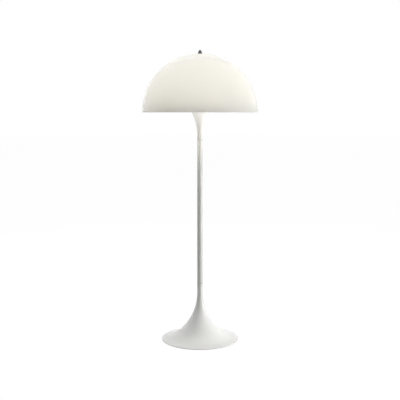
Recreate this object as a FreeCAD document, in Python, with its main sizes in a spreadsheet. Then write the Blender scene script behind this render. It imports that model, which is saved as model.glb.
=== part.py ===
import FreeCAD, Part

# Mushroom floor lamp: a weighted trumpet foot, a slim stem that flares out again into a reflector bowl, and an
# opal dome that a three-armed carrier holds over the lamp bulb, under a turned finial.
#
# Frame: millimetres, +Z up, origin on the floor under the stem's axis; the cord inlet is at the back, at +Y.
# Every size that can be set by itself is a cell of the sheet "Sizes".  Everything that seats on, passes through
# or lines up with another piece is bound to those cells by a formula.

import math
import os
import re

import Sketcher
from FreeCAD import Placement, Rotation, Vector

SIZES = [
    # The dome and its height over the floor.
    ("shade_radius", 250.0, "outside radius of the dome"),
    ("shade_wall", 3.0, "thickness of the opal acrylic"),
    ("shade_skirt", 1.0, "straight edge below the half sphere"),
    ("shade_hole", 4.0, "radius of the hole at the top"),
    ("rim_height", 1006.0, "shade's lower edge over the floor"),
    # The stem.
    ("stem_radius", 12.5, "outside radius of the stem and of both necks"),
    ("stem_wall", 1.5, "wall of the stem tube"),
    ("foot_seam", 240.0, "height of the joint between foot and stem"),
    ("seam_ring", 1.5, "visible ring of a spigot, between two tubes"),
    ("spigot_depth", 32.0, "how far a spigot reaches into each tube"),
    ("spigot_gap", 0.05, "radial clearance of a spigot in a tube"),
    ("spigot_thread", 26.0, "depth of the threaded bore in a spigot"),
    ("lead_bore", 4.5, "radius of the way for the lead through a spigot"),
    ("thread_gap", 0.05, "radial clearance that stands for a thread"),
    ("set_screw_lift", 13.5, "set screw over the stem's lower end"),
    ("set_screw_bearing", -70.0, "set screw's direction, degrees from +X"),
    ("set_screw_radius", 2.0, "M4 grub screw"),
    ("set_screw_length", 6.0, "length of the grub screw"),
    ("set_screw_socket", 1.0, "half the width across flats of its socket"),
    ("set_screw_inset", 0.4, "how far the screw lies below the surface"),
    ("set_screw_spare", 1.6, "how much longer its hole is than the screw"),
    # The foot: two tangent arcs that leave the neck upright and arrive almost level at the lip.
    ("base_radius", 170.0, "outside radius of the foot"),
    ("foot_arc", 226.0, "radius of the upper arc"),
    ("toe_arc", 153.0, "radius of the lower arc"),
    ("arc_change", 48.9, "slope where the arcs meet, degrees from upright"),
    ("foot_lip", 4.0, "top of the upright lip"),
    ("foot_lift", 0.8, "lower edge of the lip over the floor"),
    ("foot_wall", 1.5, "wall of the spun foot"),
    # Under the foot.
    ("pad_thick", 1.5, "felt ring"),
    ("pad_outer", 138.0, "outer radius of the felt ring"),
    ("pad_inner", 116.0, "inner radius of the felt ring"),
    ("plate_thick", 1.5, "steel bottom plate"),
    ("plate_radius", 162.0, "radius of the bottom plate"),
    # The cast weight inside the foot.
    ("weight_radius", 140.0, "outer radius of the casting"),
    ("weight_gap", 0.3, "clearance between casting and foot"),
    ("weight_web", 10.0, "height of the casting's flat top over the plate"),
    ("hub_radius", 50.0, "radius of the raised hub"),
    ("hub_slope", 8.0, "how far the hub's flank leans out"),
    ("hub_height", 41.0, "height of the hub over the plate"),
    ("chamber_radius", 40.0, "radius of the wiring chamber"),
    ("chamber_height", 31.0, "height of the wiring chamber over the plate"),
    ("screw_circle", 98.0, "radius on which the plate's screws lie"),
    ("screw_radius", 2.0, "M4 countersunk screw"),
    ("screw_head", 3.5, "radius of its head"),
    ("screw_length", 10.0, "length of the screw"),
    ("screw_gap", 0.1, "clearance around the screws"),
    # The cord inlet at the back of the lip.
    ("grommet_half", 5.0, "half width of the rubber grommet"),
    ("grommet_turn", 5.0, "height at which its sides turn into a half circle"),
    ("grommet_axis", 5.3, "height of the cord's centre line"),
    ("grommet_bore", 3.0, "radius of the hole for the cord"),
    ("grommet_foot", 0.9, "underside of the grommet over the floor"),
    ("grommet_proud", 1.5, "how far the grommet stands out of the lip"),
    ("grommet_gap", 0.15, "clearance around the grommet"),
    ("grommet_back", 0.45, "clearance between the grommet's inner end and the casting"),
    # The tube that pulls the casting up into the foot, with its nut and washer.
    ("tie_radius", 6.5, "outside radius of the threaded tie tube"),
    ("tie_bore", 4.5, "inside radius of the tie tube"),
    ("tie_spare", 3.0, "end of the tie tube below its nut"),
    ("tie_engaged", 25.0, "length screwed into the spigot"),
    ("tie_nut_flats", 19.0, "width across flats"),
    ("tie_nut_height", 6.0, "height of the tie nut"),
    ("washer_thick", 1.6, "spring washers"),
    ("tie_washer_radius", 11.5, "outside radius of the lower washer"),
    # Terminal block and inner lead.
    ("block_near", 20.0, "block's face towards the axis"),
    ("block_length", 14.0, "block along X"),
    ("block_width", 22.0, "block along Y"),
    ("block_height", 12.0, "block over the plate"),
    ("block_entry", 1.6, "radius of the wire holes in the block"),
    ("block_pitch", 11.0, "distance between the two wire holes"),
    ("lead_radius", 1.8, "radius of the inner lead"),
    ("lead_bend", 18.0, "bend radius of the lead under the tie tube"),
    # The flare under the dome, which opens into the reflector bowl.
    ("flare_drop", 102.0, "start of the flare below the shade's rim"),
    ("throat_length", 18.5, "straight neck below the flare"),
    ("bowl_arc", 226.0, "radius of the flare"),
    ("bowl_sweep", 48.9, "slope at the mouth, degrees from upright"),
    ("bowl_wall", 1.5, "wall of the reflector"),
    ("bowl_lip", 1.0, "radius of the rounded lip"),
    # What clamps the reflector and carries the lampholder.
    ("pipe_radius", 5.0, "M10 lamp pipe"),
    ("pipe_bore", 3.5, "inside radius of the lamp pipe"),
    ("pipe_engaged", 25.0, "length screwed into the spigot"),
    ("pipe_gap", 0.1, "radial clearance around the lamp pipe"),
    ("cone_lift", 24.0, "underside of the clamping cone over the flare's start"),
    ("cone_height", 18.0, "height of the clamping cone"),
    ("cone_gap", 0.1, "clearance between cone and reflector"),
    ("pipe_washer_radius", 8.4, "outside radius of the upper washer"),
    ("pipe_nut_flats", 14.0, "width across flats"),
    ("pipe_nut_height", 5.0, "height of the pipe nut"),
    ("sleeve_radius", 7.0, "outside radius of the spacer sleeve"),
    # The shade carrier: saddle, three bent arms and hub, welded together.
    ("saddle_lift", 71.0, "underside of the saddle over the flare's start"),
    ("saddle_radius", 16.0, "radius of the saddle"),
    ("saddle_thick", 2.5, "thickness of the saddle"),
    ("arm_radius", 2.0, "half the thickness of an arm"),
    ("arm_start", 12.0, "inner end of an arm in the saddle"),
    ("arm_knee", 18.5, "where an arm turns up"),
    ("arm_knee_bend", 5.0, "bend radius there"),
    ("arm_belly", 67.0, "widest point of an arm, before its bend"),
    ("arm_belly_height", 99.0, "height of that point over the shade's rim"),
    ("arm_belly_bend", 90.0, "bend radius there"),
    ("arm_shoulder", 21.0, "where an arm turns in to the hub"),
    ("arm_shoulder_bend", 7.0, "bend radius there"),
    ("arm_end", 10.0, "inner end of an arm in the hub"),
    ("carrier_hub_radius", 16.0, "radius of the hub under the shade"),
    ("carrier_hub_thick", 5.0, "thickness of that hub"),
    # Between carrier, shade and finial.
    ("cushion_radius", 15.0, "rubber washer under the shade"),
    ("cushion_thick", 1.8, "its thickness"),
    ("seat_gap", 0.3, "clearance between shade and its washers"),
    ("stud_radius", 3.0, "M6 stud"),
    ("stud_head_flats", 10.0, "width across flats of the stud's head"),
    ("stud_head_height", 4.0, "height of the stud's head"),
    ("stud_gap", 0.2, "clearance of the washers around the stud"),
    ("stud_engaged", 8.0, "length of stud inside the finial"),
    ("finial_washer_radius", 9.2, "captive washer under the finial"),
    ("finial_washer_thick", 1.2, "its thickness"),
    ("finial_gap", 0.05, "running clearance of the finial"),
    ("finial_foot", 7.4, "radius of the finial's flat underside"),
    ("finial_radius", 9.0, "widest radius of the finial"),
    ("finial_waist", 2.4, "height of the widest radius"),
    ("finial_under", 3.0, "radius of the arc under it"),
    ("finial_shoulder", 4.4, "radius where the side turns into the crown"),
    ("finial_shoulder_height", 12.0, "height of that turn"),
    ("finial_side", 22.0, "radius of the arc of the side"),
    ("finial_height", 14.1, "height of the finial"),
    ("finial_bore_depth", 10.8, "depth of the threaded hole"),
    # The lampholder: cap, skirt and porcelain core with the screw shell.
    ("cap_neck", 9.0, "radius of the cap's neck"),
    ("cap_neck_height", 4.0, "height of the neck"),
    ("cap_slope_top", 14.0, "top of the cap's conical part"),
    ("cap_height", 20.0, "height of the cap"),
    ("holder_radius", 19.5, "widest radius of the lampholder"),
    ("holder_mouth", 18.4, "radius at the skirt's top"),
    ("holder_wall", 2.0, "wall of cap and skirt"),
    ("skirt_height", 40.0, "height of the skirt"),
    ("core_radius", 16.2, "radius of the porcelain core"),
    ("core_lift", 1.5, "core over the joint of cap and skirt"),
    ("core_height", 9.0, "height of the core"),
    ("shell_bore", 13.35, "inside radius of the screw shell"),
    ("shell_wall", 0.4, "wall of the screw shell"),
    ("shell_height", 24.0, "height of the screw shell"),
    ("spring_width", 5.0, "width of the centre contact"),
    ("spring_half", 7.5, "half length of its foot"),
    ("spring_pad", 3.0, "half length of its pad"),
    ("spring_strip", 0.5, "thickness of the strip"),
    ("spring_height", 4.0, "top of the pad over the core"),
    ("terminal_circle", 10.5, "radius on which the terminal screws lie"),
    ("terminal_head", 2.6, "radius of a terminal screw's head"),
    ("terminal_head_height", 2.2, "height of that head"),
    ("terminal_radius", 1.5, "M3 terminal screw"),
    ("terminal_length", 6.0, "length of its shank"),
    # The bulb.
    ("bulb_gap", 0.05, "clearance over the centre contact"),
    ("tip_radius", 4.5, "contact at the bottom of the bulb"),
    ("tip_height", 1.6, "its height"),
    ("insulator_radius", 10.6, "radius of the glass insulator"),
    ("insulator_low", 5.5, "radius of the insulator at the contact"),
    ("insulator_height", 6.4, "top of the insulator over the contact's underside"),
    ("bulb_cap_radius", 13.15, "radius of the bulb's cap"),
    ("bulb_cap_wall", 0.4, "wall of that cap"),
    ("bulb_cap_low", 4.4, "lower edge of that cap"),
    ("bulb_cap_full", 7.5, "where the cap reaches its full radius"),
    ("bulb_cap_top", 25.5, "upper edge of the cap"),
    ("bulb_neck", 12.5, "radius of the glass neck"),
    ("bulb_neck_low", 21.0, "lower end of the glass"),
    ("bulb_neck_top", 30.0, "where the neck starts to widen"),
    ("bulb_radius", 30.0, "radius of the bulb"),
    ("bulb_length", 106.0, "whole length of the bulb"),
    ("glass_wall", 1.0, "thickness of the bulb's glass"),
]

ARMS = 3
PLATE_SCREWS = 4
TERMINALS = 2
HEXAGON = 6

# Sizes that follow from the cells above, by name.
WORKED_OUT = {
    "plate_low": "pad_thick",
    "plate_top": "pad_thick + plate_thick",
    # Centres of the foot's arcs: the lower one lies on the line from the upper one to where they meet.
    "arc_step": "foot_arc - toe_arc",
    "toe_across": "stem_radius + foot_arc - arc_step * cos(arc_change * 1deg)",
    "toe_up": "foot_lip + sqrt(toe_arc ^ 2 - (toe_across - base_radius) ^ 2)",
    "foot_across": "stem_radius + foot_arc",
    "foot_up": "toe_up + arc_step * sin(arc_change * 1deg)",
    "toe_inside": "toe_arc + foot_wall",
    "toe_weight": "toe_arc + foot_wall + weight_gap",
    "lip_inside": "base_radius - foot_wall",
    # Heights up the stem.
    "stem_low": "foot_seam + seam_ring",
    "flare_low": "rim_height - flare_drop",
    "bowl_low": "flare_low - throat_length",
    "stem_high": "bowl_low - seam_ring",
    "set_screw_height": "stem_low + set_screw_lift",
    "spigot_radius": "stem_radius - stem_wall - spigot_gap",
    # The casting.
    "web_top": "plate_top + weight_web",
    "hub_top": "plate_top + hub_height",
    "chamber_top": "plate_top + chamber_height",
    "tie_nut_low": "chamber_top - washer_thick - tie_nut_height",
    "tie_low": "tie_nut_low - tie_spare",
    "tie_high": "foot_seam - spigot_depth + tie_engaged",
    "grommet_start": "weight_radius + grommet_back",
    "lead_entry": "plate_top + block_height / 2",
    # The reflector and what is stacked on the lamp pipe.
    "bowl_across": "stem_radius + bowl_arc",
    "pipe_low": "bowl_low + spigot_depth - pipe_engaged",
    "cone_low": "flare_low + cone_lift",
    "cone_top": "cone_low + cone_height",
    "pipe_nut_low": "cone_top + washer_thick",
    "pipe_nut_top": "pipe_nut_low + pipe_nut_height",
    "saddle_low": "flare_low + saddle_lift",
    "saddle_top": "saddle_low + saddle_thick",
    "pipe_clear": "pipe_radius + pipe_gap",
    "cone_arc": "bowl_arc + bowl_wall + cone_gap",
    # The dome and what is stacked over and under it.
    "dome_centre": "rim_height + shade_skirt",
    "dome_inside": "shade_radius - shade_wall",
    "dome_top": "dome_centre + shade_radius",
    "cushion_top": "dome_centre + sqrt(dome_inside ^ 2 - cushion_radius ^ 2) - seat_gap",
    "cushion_low": "cushion_top - cushion_thick",
    "carrier_hub_low": "cushion_low - carrier_hub_thick",
    "finial_washer_low": "dome_top + seat_gap",
    "finial_washer_top": "finial_washer_low + finial_washer_thick",
    "finial_low": "finial_washer_top + finial_gap",
    "stud_top": "finial_low + stud_engaged",
    "stud_clear": "stud_radius + stud_gap",
    # The lampholder and the bulb.
    "skirt_low": "saddle_top + cap_height",
    "skirt_top": "skirt_low + skirt_height",
    "core_low": "skirt_low + core_lift",
    "core_top": "core_low + core_height",
    "bulb_low": "core_top + spring_height + bulb_gap",
    "ball_centre": "bulb_low + bulb_length - bulb_radius",
    "neck_top": "bulb_low + bulb_neck_top",
    "neck_rise": "ball_centre - neck_top",
    "neck_arc": "(bulb_neck ^ 2 + neck_rise ^ 2 - bulb_radius ^ 2) / (2 * (bulb_radius - bulb_neck))",
    "neck_reach": "neck_arc + bulb_radius",
}

NAME = re.compile(r"\b[a-z][a-z_]*\b(?!\s*\()")
VALUES = {alias: value for alias, value, note in SIZES}

doc = FreeCAD.newDocument("MushroomFloorLamp")
sheet = doc.addObject("Spreadsheet::Sheet", "Sizes")
for row, (alias, value, note) in enumerate(SIZES, start=1):
    sheet.set(f"A{row}", alias)
    sheet.set(f"B{row}", str(value))
    sheet.set(f"C{row}", note)
    sheet.setAlias(f"B{row}", alias)
doc.recompute()


# ---- formulas and sketches ----

def bound(formula):
    """The formula with every name in it traced back to cells of the sheet, as setExpression wants it."""
    def traced(match):
        word = match.group(0)
        if word in WORKED_OUT:
            return "(" + bound(WORKED_OUT[word]) + ")"
        return "Sizes." + word if word in VALUES else word
    return NAME.sub(traced, str(formula))


def size(formula):
    """The number that a formula gives now."""
    return float(sheet.evalExpression(bound(formula)))


def new_body(label):
    """An empty body for one piece of the lamp."""
    body = doc.addObject("PartDesign::Body", label)
    body.Label = label
    return body


def origin_feature(body, role):
    """One of the body's own origin planes or axes."""
    return next(item for item in body.Origin.OriginFeatures if item.Role == role)


def new_sketch(body, name, plane, along="0", up="0", out="0"):
    """A sketch on an origin plane of the body, moved within it by along and up and off it by out."""
    sketch = body.newObject("Sketcher::SketchObject", name)
    sketch.AttachmentSupport = [(origin_feature(body, plane), "")]
    sketch.MapMode = "FlatFace"
    sketch.AttachmentOffset = Placement(Vector(size(along), size(up), size(out)), Rotation())
    for axis, formula in (("x", along), ("y", up), ("z", out)):
        if formula != "0":
            sketch.setExpression(f"AttachmentOffset.Base.{axis}", bound(formula))
    return sketch


def pin_point(sketch, edge, end, corner):
    """Hold one end of an edge at a corner given by two formulas."""
    for kind, formula in zip(("DistanceX", "DistanceY"), corner):
        index = sketch.addConstraint(Sketcher.Constraint(kind, -1, 1, edge, end, size(formula)))
        sketch.setExpression(f"Constraints[{index}]", bound(formula))


def arc_between(start, end, radius, turn):
    """The short arc from start to end; turn is +1 where it curves to the left of its course, -1 to the right."""
    chord = end - start
    rise = math.sqrt(max(radius ** 2 - chord.Length ** 2 / 4, 0.0))
    side = Vector(-chord.y, chord.x, 0).normalize() * turn
    centre = (start + end) * 0.5 + side * rise
    first, last = (start, end) if turn > 0 else (end, start)
    angles = [math.atan2(point.y - centre.y, point.x - centre.x) for point in (first, last)]
    return Part.ArcOfCircle(Part.Circle(centre, Vector(0, 0, 1), radius), *angles)


def draw(sketch, corners, arcs=None, closed=True):
    """Draw lines and arcs through corners of two formulas each.

    arcs maps the number of an edge, counted from the first corner, to its radius formula and its turn.
    """
    arcs = arcs or {}
    points = [Vector(size(across), size(up), 0) for across, up in corners]
    count = len(points) if closed else len(points) - 1
    ends = []
    for number in range(count):
        start, end = points[number], points[(number + 1) % len(points)]
        if number in arcs:
            radius, turn = arcs[number]
            edge = sketch.addGeometry(arc_between(start, end, size(radius), turn))
            ends.append((edge, 1, 2) if turn > 0 else (edge, 2, 1))
            index = sketch.addConstraint(Sketcher.Constraint("Radius", edge, size(radius)))
            sketch.setExpression(f"Constraints[{index}]", bound(radius))
        else:
            ends.append((sketch.addGeometry(Part.LineSegment(start, end)), 1, 2))
    for number, (edge, first, last) in enumerate(ends):
        pin_point(sketch, edge, first, corners[number])
        if closed or number + 1 < count:
            following = ends[(number + 1) % count]
            sketch.addConstraint(Sketcher.Constraint("Coincident", edge, last, following[0], following[1]))
        else:
            pin_point(sketch, edge, last, corners[-1])


def draw_circle(sketch, radius, centre=("0", "0")):
    """Draw a circle of a bound radius about a bound centre."""
    middle = Vector(size(centre[0]), size(centre[1]), 0)
    edge = sketch.addGeometry(Part.Circle(middle, Vector(0, 0, 1), size(radius)))
    index = sketch.addConstraint(Sketcher.Constraint("Radius", edge, size(radius)))
    sketch.setExpression(f"Constraints[{index}]", bound(radius))
    pin_point(sketch, edge, 3, centre)


# ---- features ----

def turn_profile(body, name, corners, arcs=None, along="0", cut=False):
    """Revolve a profile about the sketch's upright axis, added to the body or cut out of it."""
    sketch = new_sketch(body, name + "_profile", "XZ_Plane", along=along)
    draw(sketch, corners, arcs)
    kind = "PartDesign::Groove" if cut else "PartDesign::Revolution"
    feature = body.newObject(kind, name)
    feature.Profile = sketch
    feature.ReferenceAxis = (sketch, ["V_Axis"])
    feature.Angle = 360.0
    return feature


def repeat_round(body, feature, count):
    """Repeat a feature evenly about the stem's axis."""
    pattern = body.newObject("PartDesign::PolarPattern", feature.Name + "_pattern")
    pattern.Originals = [feature]
    pattern.Axis = (origin_feature(body, "Z_Axis"), [""])
    pattern.Angle = 360.0
    pattern.Occurrences = count
    body.Tip = pattern
    return pattern


def turned(label, corners, arcs=None):
    """A piece that is one turned profile."""
    body = new_body(label)
    turn_profile(body, label + "_turning", corners, arcs)
    return body


def ring(label, inner, outer, low, high):
    """A plain turned ring, washer or tube."""
    return turned(label, [(inner, low), (outer, low), (outer, high), (inner, high)])


def padded(body, name, sketch, length):
    """Pad a sketch along its normal."""
    pad = body.newObject("PartDesign::Pad", name)
    pad.Profile = sketch
    pad.Length = size(length)
    pad.setExpression("Length", bound(length))
    return pad


def hexagon_corners(flats):
    """The corners of a hexagon across the given flats."""
    reach = f"({flats} / sqrt(3))"
    return [(f"{reach} * cos({60 * k} * 1deg)", f"{reach} * sin({60 * k} * 1deg)") for k in range(HEXAGON)]


def nut(label, flats, bore, low, height):
    """A hexagon nut with a plain bore in place of its thread."""
    body = new_body(label)
    sketch = new_sketch(body, label + "_hexagon", "XY_Plane", out=low)
    draw(sketch, hexagon_corners(flats))
    draw_circle(sketch, bore)
    padded(body, label + "_pad", sketch, height)
    return body


def cut_away(body, name, sketch):
    """Cut a sketch through the body, away from the sketch's normal."""
    pocket = body.newObject("PartDesign::Pocket", name)
    pocket.Profile = sketch
    pocket.Type = "ThroughAll"
    return pocket


def cross_rod(name, radius, length, start, height, bearing):
    """A level cylinder that points away from the axis, from start outwards, towards a bearing."""
    rod = doc.addObject("Part::Cylinder", name)
    rod.Radius = size(radius)
    rod.Height = size(length)
    rod.setExpression("Radius", bound(radius))
    rod.setExpression("Height", bound(length))
    angle = math.radians(size(bearing))
    outward = Vector(math.cos(angle), math.sin(angle), 0)
    rod.Placement = Placement(Vector(0, 0, 0), Rotation(Vector(0, 0, 1), outward))
    rod.setExpression("Placement.Base.x", bound(f"({start}) * cos({bearing} * 1deg)"))
    rod.setExpression("Placement.Base.y", bound(f"({start}) * sin({bearing} * 1deg)"))
    rod.setExpression("Placement.Base.z", bound(height))
    return rod


def boolean_cut(label, base, tool):
    """The base without the tool, as a piece of its own."""
    cut = doc.addObject("Part::Cut", label)
    cut.Label = label
    cut.Base = base
    cut.Tool = tool
    return cut


# ---- the foot ----

def arch_corners(grown):
    """The grommet's outline: upright sides under a half circle, drawn larger by a clearance."""
    half = f"(grommet_half + {grown})"
    low = f"(grommet_foot - {grown})"
    return [
        ("-1 * " + half, low), (half, low), (half, "grommet_turn"),
        ("0", f"grommet_turn + {half}"), ("-1 * " + half, "grommet_turn"),
    ], {2: (half, 1), 3: (half, 1)}


def foot_shell():
    """The spun trumpet: neck, two tangent arcs and an upright lip, with a notch for the grommet at the back."""
    body = new_body("foot_shell")
    inner_neck = "stem_radius - foot_wall"
    corners = [
        ("base_radius", "foot_lift"),
        ("base_radius", "foot_lip"),
        ("toe_across - toe_arc * cos(arc_change * 1deg)", "toe_up - toe_arc * sin(arc_change * 1deg)"),
        ("stem_radius", "foot_up"),
        ("stem_radius", "foot_seam"),
        (inner_neck, "foot_seam"),
        (inner_neck, "foot_up"),
        ("toe_across - toe_inside * cos(arc_change * 1deg)", "toe_up - toe_inside * sin(arc_change * 1deg)"),
        ("lip_inside", "toe_up - sqrt(toe_inside ^ 2 - (toe_across - lip_inside) ^ 2)"),
        ("lip_inside", "foot_lift"),
    ]
    arcs = {
        1: ("toe_arc", -1),
        2: ("foot_arc", -1),
        6: ("foot_arc + foot_wall", 1),
        7: ("toe_inside", 1),
    }
    turn_profile(body, "foot_spinning", corners, arcs)
    notch = new_sketch(body, "grommet_notch_outline", "XZ_Plane")
    draw(notch, *arch_corners("grommet_gap"))
    cut_away(body, "grommet_notch", notch)


def base_weight():
    """The iron casting: flat web, raised hub over the wiring chamber, and a way for the cord to the back."""
    body = new_body("base_weight")
    tie_hole = "tie_radius + pipe_gap"
    corners = [
        ("chamber_radius", "plate_top"),
        ("weight_radius", "plate_top"),
        ("weight_radius", "toe_up - sqrt(toe_weight ^ 2 - (toe_across - weight_radius) ^ 2)"),
        ("toe_across - sqrt(toe_weight ^ 2 - (toe_up - web_top) ^ 2)", "web_top"),
        ("hub_radius + hub_slope", "web_top"),
        ("hub_radius", "hub_top"),
        (tie_hole, "hub_top"),
        (tie_hole, "chamber_top"),
        ("chamber_radius", "chamber_top"),
    ]
    turn_profile(body, "weight_casting", corners, {2: ("toe_weight", -1)})
    hole = [
        ("0", "plate_top - plate_thick"), ("screw_radius + thread_gap", "plate_top - plate_thick"),
        ("screw_radius + thread_gap", "plate_low + screw_length"), ("0", "plate_low + screw_length"),
    ]
    repeat_round(body, turn_profile(body, "screw_hole", hole, along="screw_circle", cut=True), PLATE_SCREWS)
    way = new_sketch(body, "cord_way_outline", "XZ_Plane")
    draw(way, *arch_corners("grommet_gap"))
    body.Tip = cut_away(body, "cord_way", way)


def base_plate():
    """The bottom plate, with countersunk holes and the notch that the grommet sits in."""
    body = new_body("base_plate")
    disc = [("0", "plate_low"), ("plate_radius", "plate_low"), ("plate_radius", "plate_top"), ("0", "plate_top")]
    turn_profile(body, "plate_blank", disc)
    sink = [
        ("0", "plate_low"), ("screw_head + screw_gap", "plate_low"),
        ("screw_radius + screw_gap", "plate_top"), ("0", "plate_top"),
    ]
    repeat_round(body, turn_profile(body, "plate_sink", sink, along="screw_circle", cut=True), PLATE_SCREWS)
    notch = new_sketch(body, "plate_notch_outline", "XZ_Plane", out="-1 * (grommet_start - grommet_gap)")
    draw(notch, *arch_corners("grommet_gap"))
    body.Tip = cut_away(body, "plate_notch", notch)


def base_screws():
    """The countersunk screws that hold the plate to the casting."""
    body = new_body("base_screws")
    profile = [
        ("0", "plate_low"), ("screw_head", "plate_low"), ("screw_radius", "plate_top"),
        ("screw_radius", "plate_low + screw_length - screw_gap"), ("0", "plate_low + screw_length - screw_gap"),
    ]
    repeat_round(body, turn_profile(body, "base_screw", profile, along="screw_circle"), PLATE_SCREWS)


def cord_grommet():
    """The rubber grommet of the cord inlet, an arch with a round hole along Y."""
    body = new_body("cord_grommet")
    sketch = new_sketch(body, "grommet_outline", "XZ_Plane", out="-1 * (base_radius + grommet_proud)")
    draw(sketch, *arch_corners("0"))
    draw_circle(sketch, "grommet_bore", ("0", "grommet_axis"))
    padded(body, "grommet_pad", sketch, "base_radius + grommet_proud - grommet_start")


def terminal_block():
    """The block under the hub where the lead meets the cord, with its two wire holes along X."""
    body = new_body("terminal_block")
    sketch = new_sketch(body, "block_outline", "XY_Plane", out="plate_top")
    far = "block_near + block_length"
    draw(sketch, [
        ("block_near", "-1 * block_width / 2"), (far, "-1 * block_width / 2"),
        (far, "block_width / 2"), ("block_near", "block_width / 2"),
    ])
    padded(body, "block_pad", sketch, "block_height")
    entries = new_sketch(body, "block_entries", "YZ_Plane", out=far)
    for side in (-1, 1):
        draw_circle(entries, "block_entry", (f"{side} * block_pitch / 2", "lead_entry"))
    cut_away(body, "block_wire_holes", entries)


def foot():
    """Everything from the floor to the foot's neck."""
    foot_shell()
    base_weight()
    base_plate()
    base_screws()
    cord_grommet()
    terminal_block()
    ring("floor_pad", "pad_inner", "pad_outer", "0", "pad_thick")
    ring("tie_tube", "tie_bore", "tie_radius", "tie_low", "tie_high")
    nut("tie_nut", "tie_nut_flats", "tie_radius + thread_gap", "tie_nut_low", "tie_nut_height")
    ring("tie_washer", "tie_radius + pipe_gap", "tie_washer_radius", "chamber_top - washer_thick", "chamber_top")


# ---- the stem ----

def spigot(label, seam, low_bore, high_bore, step):
    """A turned plug that joins two tubes; only its ring shows.  Its bore changes at the height of step."""
    low = f"{seam} - spigot_depth"
    ring_top = f"{seam} + seam_ring"
    high = f"{seam} + seam_ring + spigot_depth"
    return turned(label, [
        (low_bore, low), ("spigot_radius", low), ("spigot_radius", seam), ("stem_radius", seam),
        ("stem_radius", ring_top), ("spigot_radius", ring_top), ("spigot_radius", high), (high_bore, high),
        (high_bore, step), (low_bore, step),
    ])


def lower_joint():
    """The lower spigot, the stem tube over it and the set screw that holds the two."""
    reach = "stem_radius - set_screw_inset - set_screw_length"
    hole = "set_screw_radius + thread_gap"
    plug = spigot("plug_blank", "foot_seam", "tie_radius + thread_gap", "lead_bore",
                  "foot_seam - spigot_depth + spigot_thread")
    tube = ring("tube_blank", "stem_radius - stem_wall", "stem_radius", "stem_low", "stem_high")
    for label, blank in (("lower_spigot", plug), ("stem_tube", tube)):
        drill = cross_rod(label + "_drill", hole, "set_screw_length + set_screw_spare",
                          reach, "set_screw_height", "set_screw_bearing")
        boolean_cut(label, blank, drill)
    screw = cross_rod("screw_blank", "set_screw_radius", "set_screw_length", reach,
                      "set_screw_height", "set_screw_bearing")
    socket = doc.addObject("Part::Prism", "screw_socket")
    socket.Polygon = HEXAGON
    socket.setExpression("Circumradius", bound("set_screw_socket * 2 / sqrt(3)"))
    socket.setExpression("Height", bound("set_screw_length"))
    socket.Placement = screw.Placement
    half_way = f"({reach} + set_screw_length / 2)"
    socket.setExpression("Placement.Base.x", bound(f"{half_way} * cos(set_screw_bearing * 1deg)"))
    socket.setExpression("Placement.Base.y", bound(f"{half_way} * sin(set_screw_bearing * 1deg)"))
    socket.setExpression("Placement.Base.z", bound("set_screw_height"))
    boolean_cut("set_screw", screw, socket)


def inner_lead():
    """The lead from the terminal block, round one bend and up inside the stem to the lampholder."""
    body = new_body("inner_lead")
    path = new_sketch(body, "lead_path", "XZ_Plane")
    draw(path, [
        ("block_near", "lead_entry"), ("lead_bend", "lead_entry"),
        ("0", "lead_entry + lead_bend"), ("0", "core_low"),
    ], {1: ("lead_bend", -1)}, closed=False)
    section = new_sketch(body, "lead_section", "YZ_Plane", out="block_near")
    draw_circle(section, "lead_radius", ("0", "lead_entry"))
    pipe = body.newObject("PartDesign::AdditivePipe", "lead_sweep")
    pipe.Profile = section
    pipe.Spine = (path, [])


def stem():
    """The tube, the two spigots and the lead inside."""
    lower_joint()
    spigot("upper_spigot", "stem_high", "lead_bore", "pipe_radius + thread_gap",
           "bowl_low + spigot_depth - spigot_thread")
    inner_lead()


# ---- the head ----

def reflector():
    """The second trumpet: it flares from the stem's width to a bowl inside the dome, with a rounded lip."""
    slope = "cos(bowl_sweep * 1deg)"
    rise = "sin(bowl_sweep * 1deg)"
    inside = "(bowl_arc + bowl_wall)"
    neck = "stem_radius - bowl_wall"
    turned("reflector", [
        (neck, "bowl_low"),
        ("stem_radius", "bowl_low"),
        ("stem_radius", "flare_low"),
        (f"bowl_across - bowl_arc * {slope}", f"flare_low + bowl_arc * {rise}"),
        (f"bowl_across - {inside} * {slope}", f"flare_low + {inside} * {rise}"),
        (neck, "flare_low"),
    ], {2: ("bowl_arc", -1), 3: ("bowl_lip", 1), 4: (inside, 1)})


def clamping_cone():
    """The turned cone that presses the reflector down on the stem; its flank follows the flare."""
    def flank(height):
        return f"bowl_across - sqrt(cone_arc ^ 2 - ({height} - flare_low) ^ 2)"
    turned("clamping_cone", [
        ("pipe_clear", "cone_low"), (flank("cone_low"), "cone_low"),
        (flank("cone_top"), "cone_top"), ("pipe_clear", "cone_top"),
    ], {1: ("cone_arc", -1)})


def rounded_path(corners, bends):
    """Formulas of a bent rod's path: each inner corner becomes the two ends of its bend.

    The ends lie back from the corner by the bend radius times the tangent of half the turn, so the bends are
    tangent to the straight runs beside them.
    """
    points = [corners[0]]
    arcs = {}
    for number, bend in enumerate(bends, start=1):
        (ax, ay), (bx, by), (cx, cy) = corners[number - 1:number + 2]
        back = f"sqrt(({bx} - ({ax})) ^ 2 + ({by} - ({ay})) ^ 2)"
        onward = f"sqrt(({cx} - ({bx})) ^ 2 + ({cy} - ({by})) ^ 2)"
        level = f"((({bx} - ({ax})) * ({cx} - ({bx})) + ({by} - ({ay})) * ({cy} - ({by}))) / ({back} * {onward}))"
        reach = f"({bend} * sqrt((1 - {level}) / (1 + {level})))"
        arcs[len(points)] = (bend, 1)
        points.append((f"{bx} - ({bx} - ({ax})) * {reach} / {back}", f"{by} - ({by} - ({ay})) * {reach} / {back}"))
        points.append((f"{bx} + ({cx} - ({bx})) * {reach} / {onward}",
                       f"{by} + ({cy} - ({by})) * {reach} / {onward}"))
    points.append(corners[-1])
    return points, arcs


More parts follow.
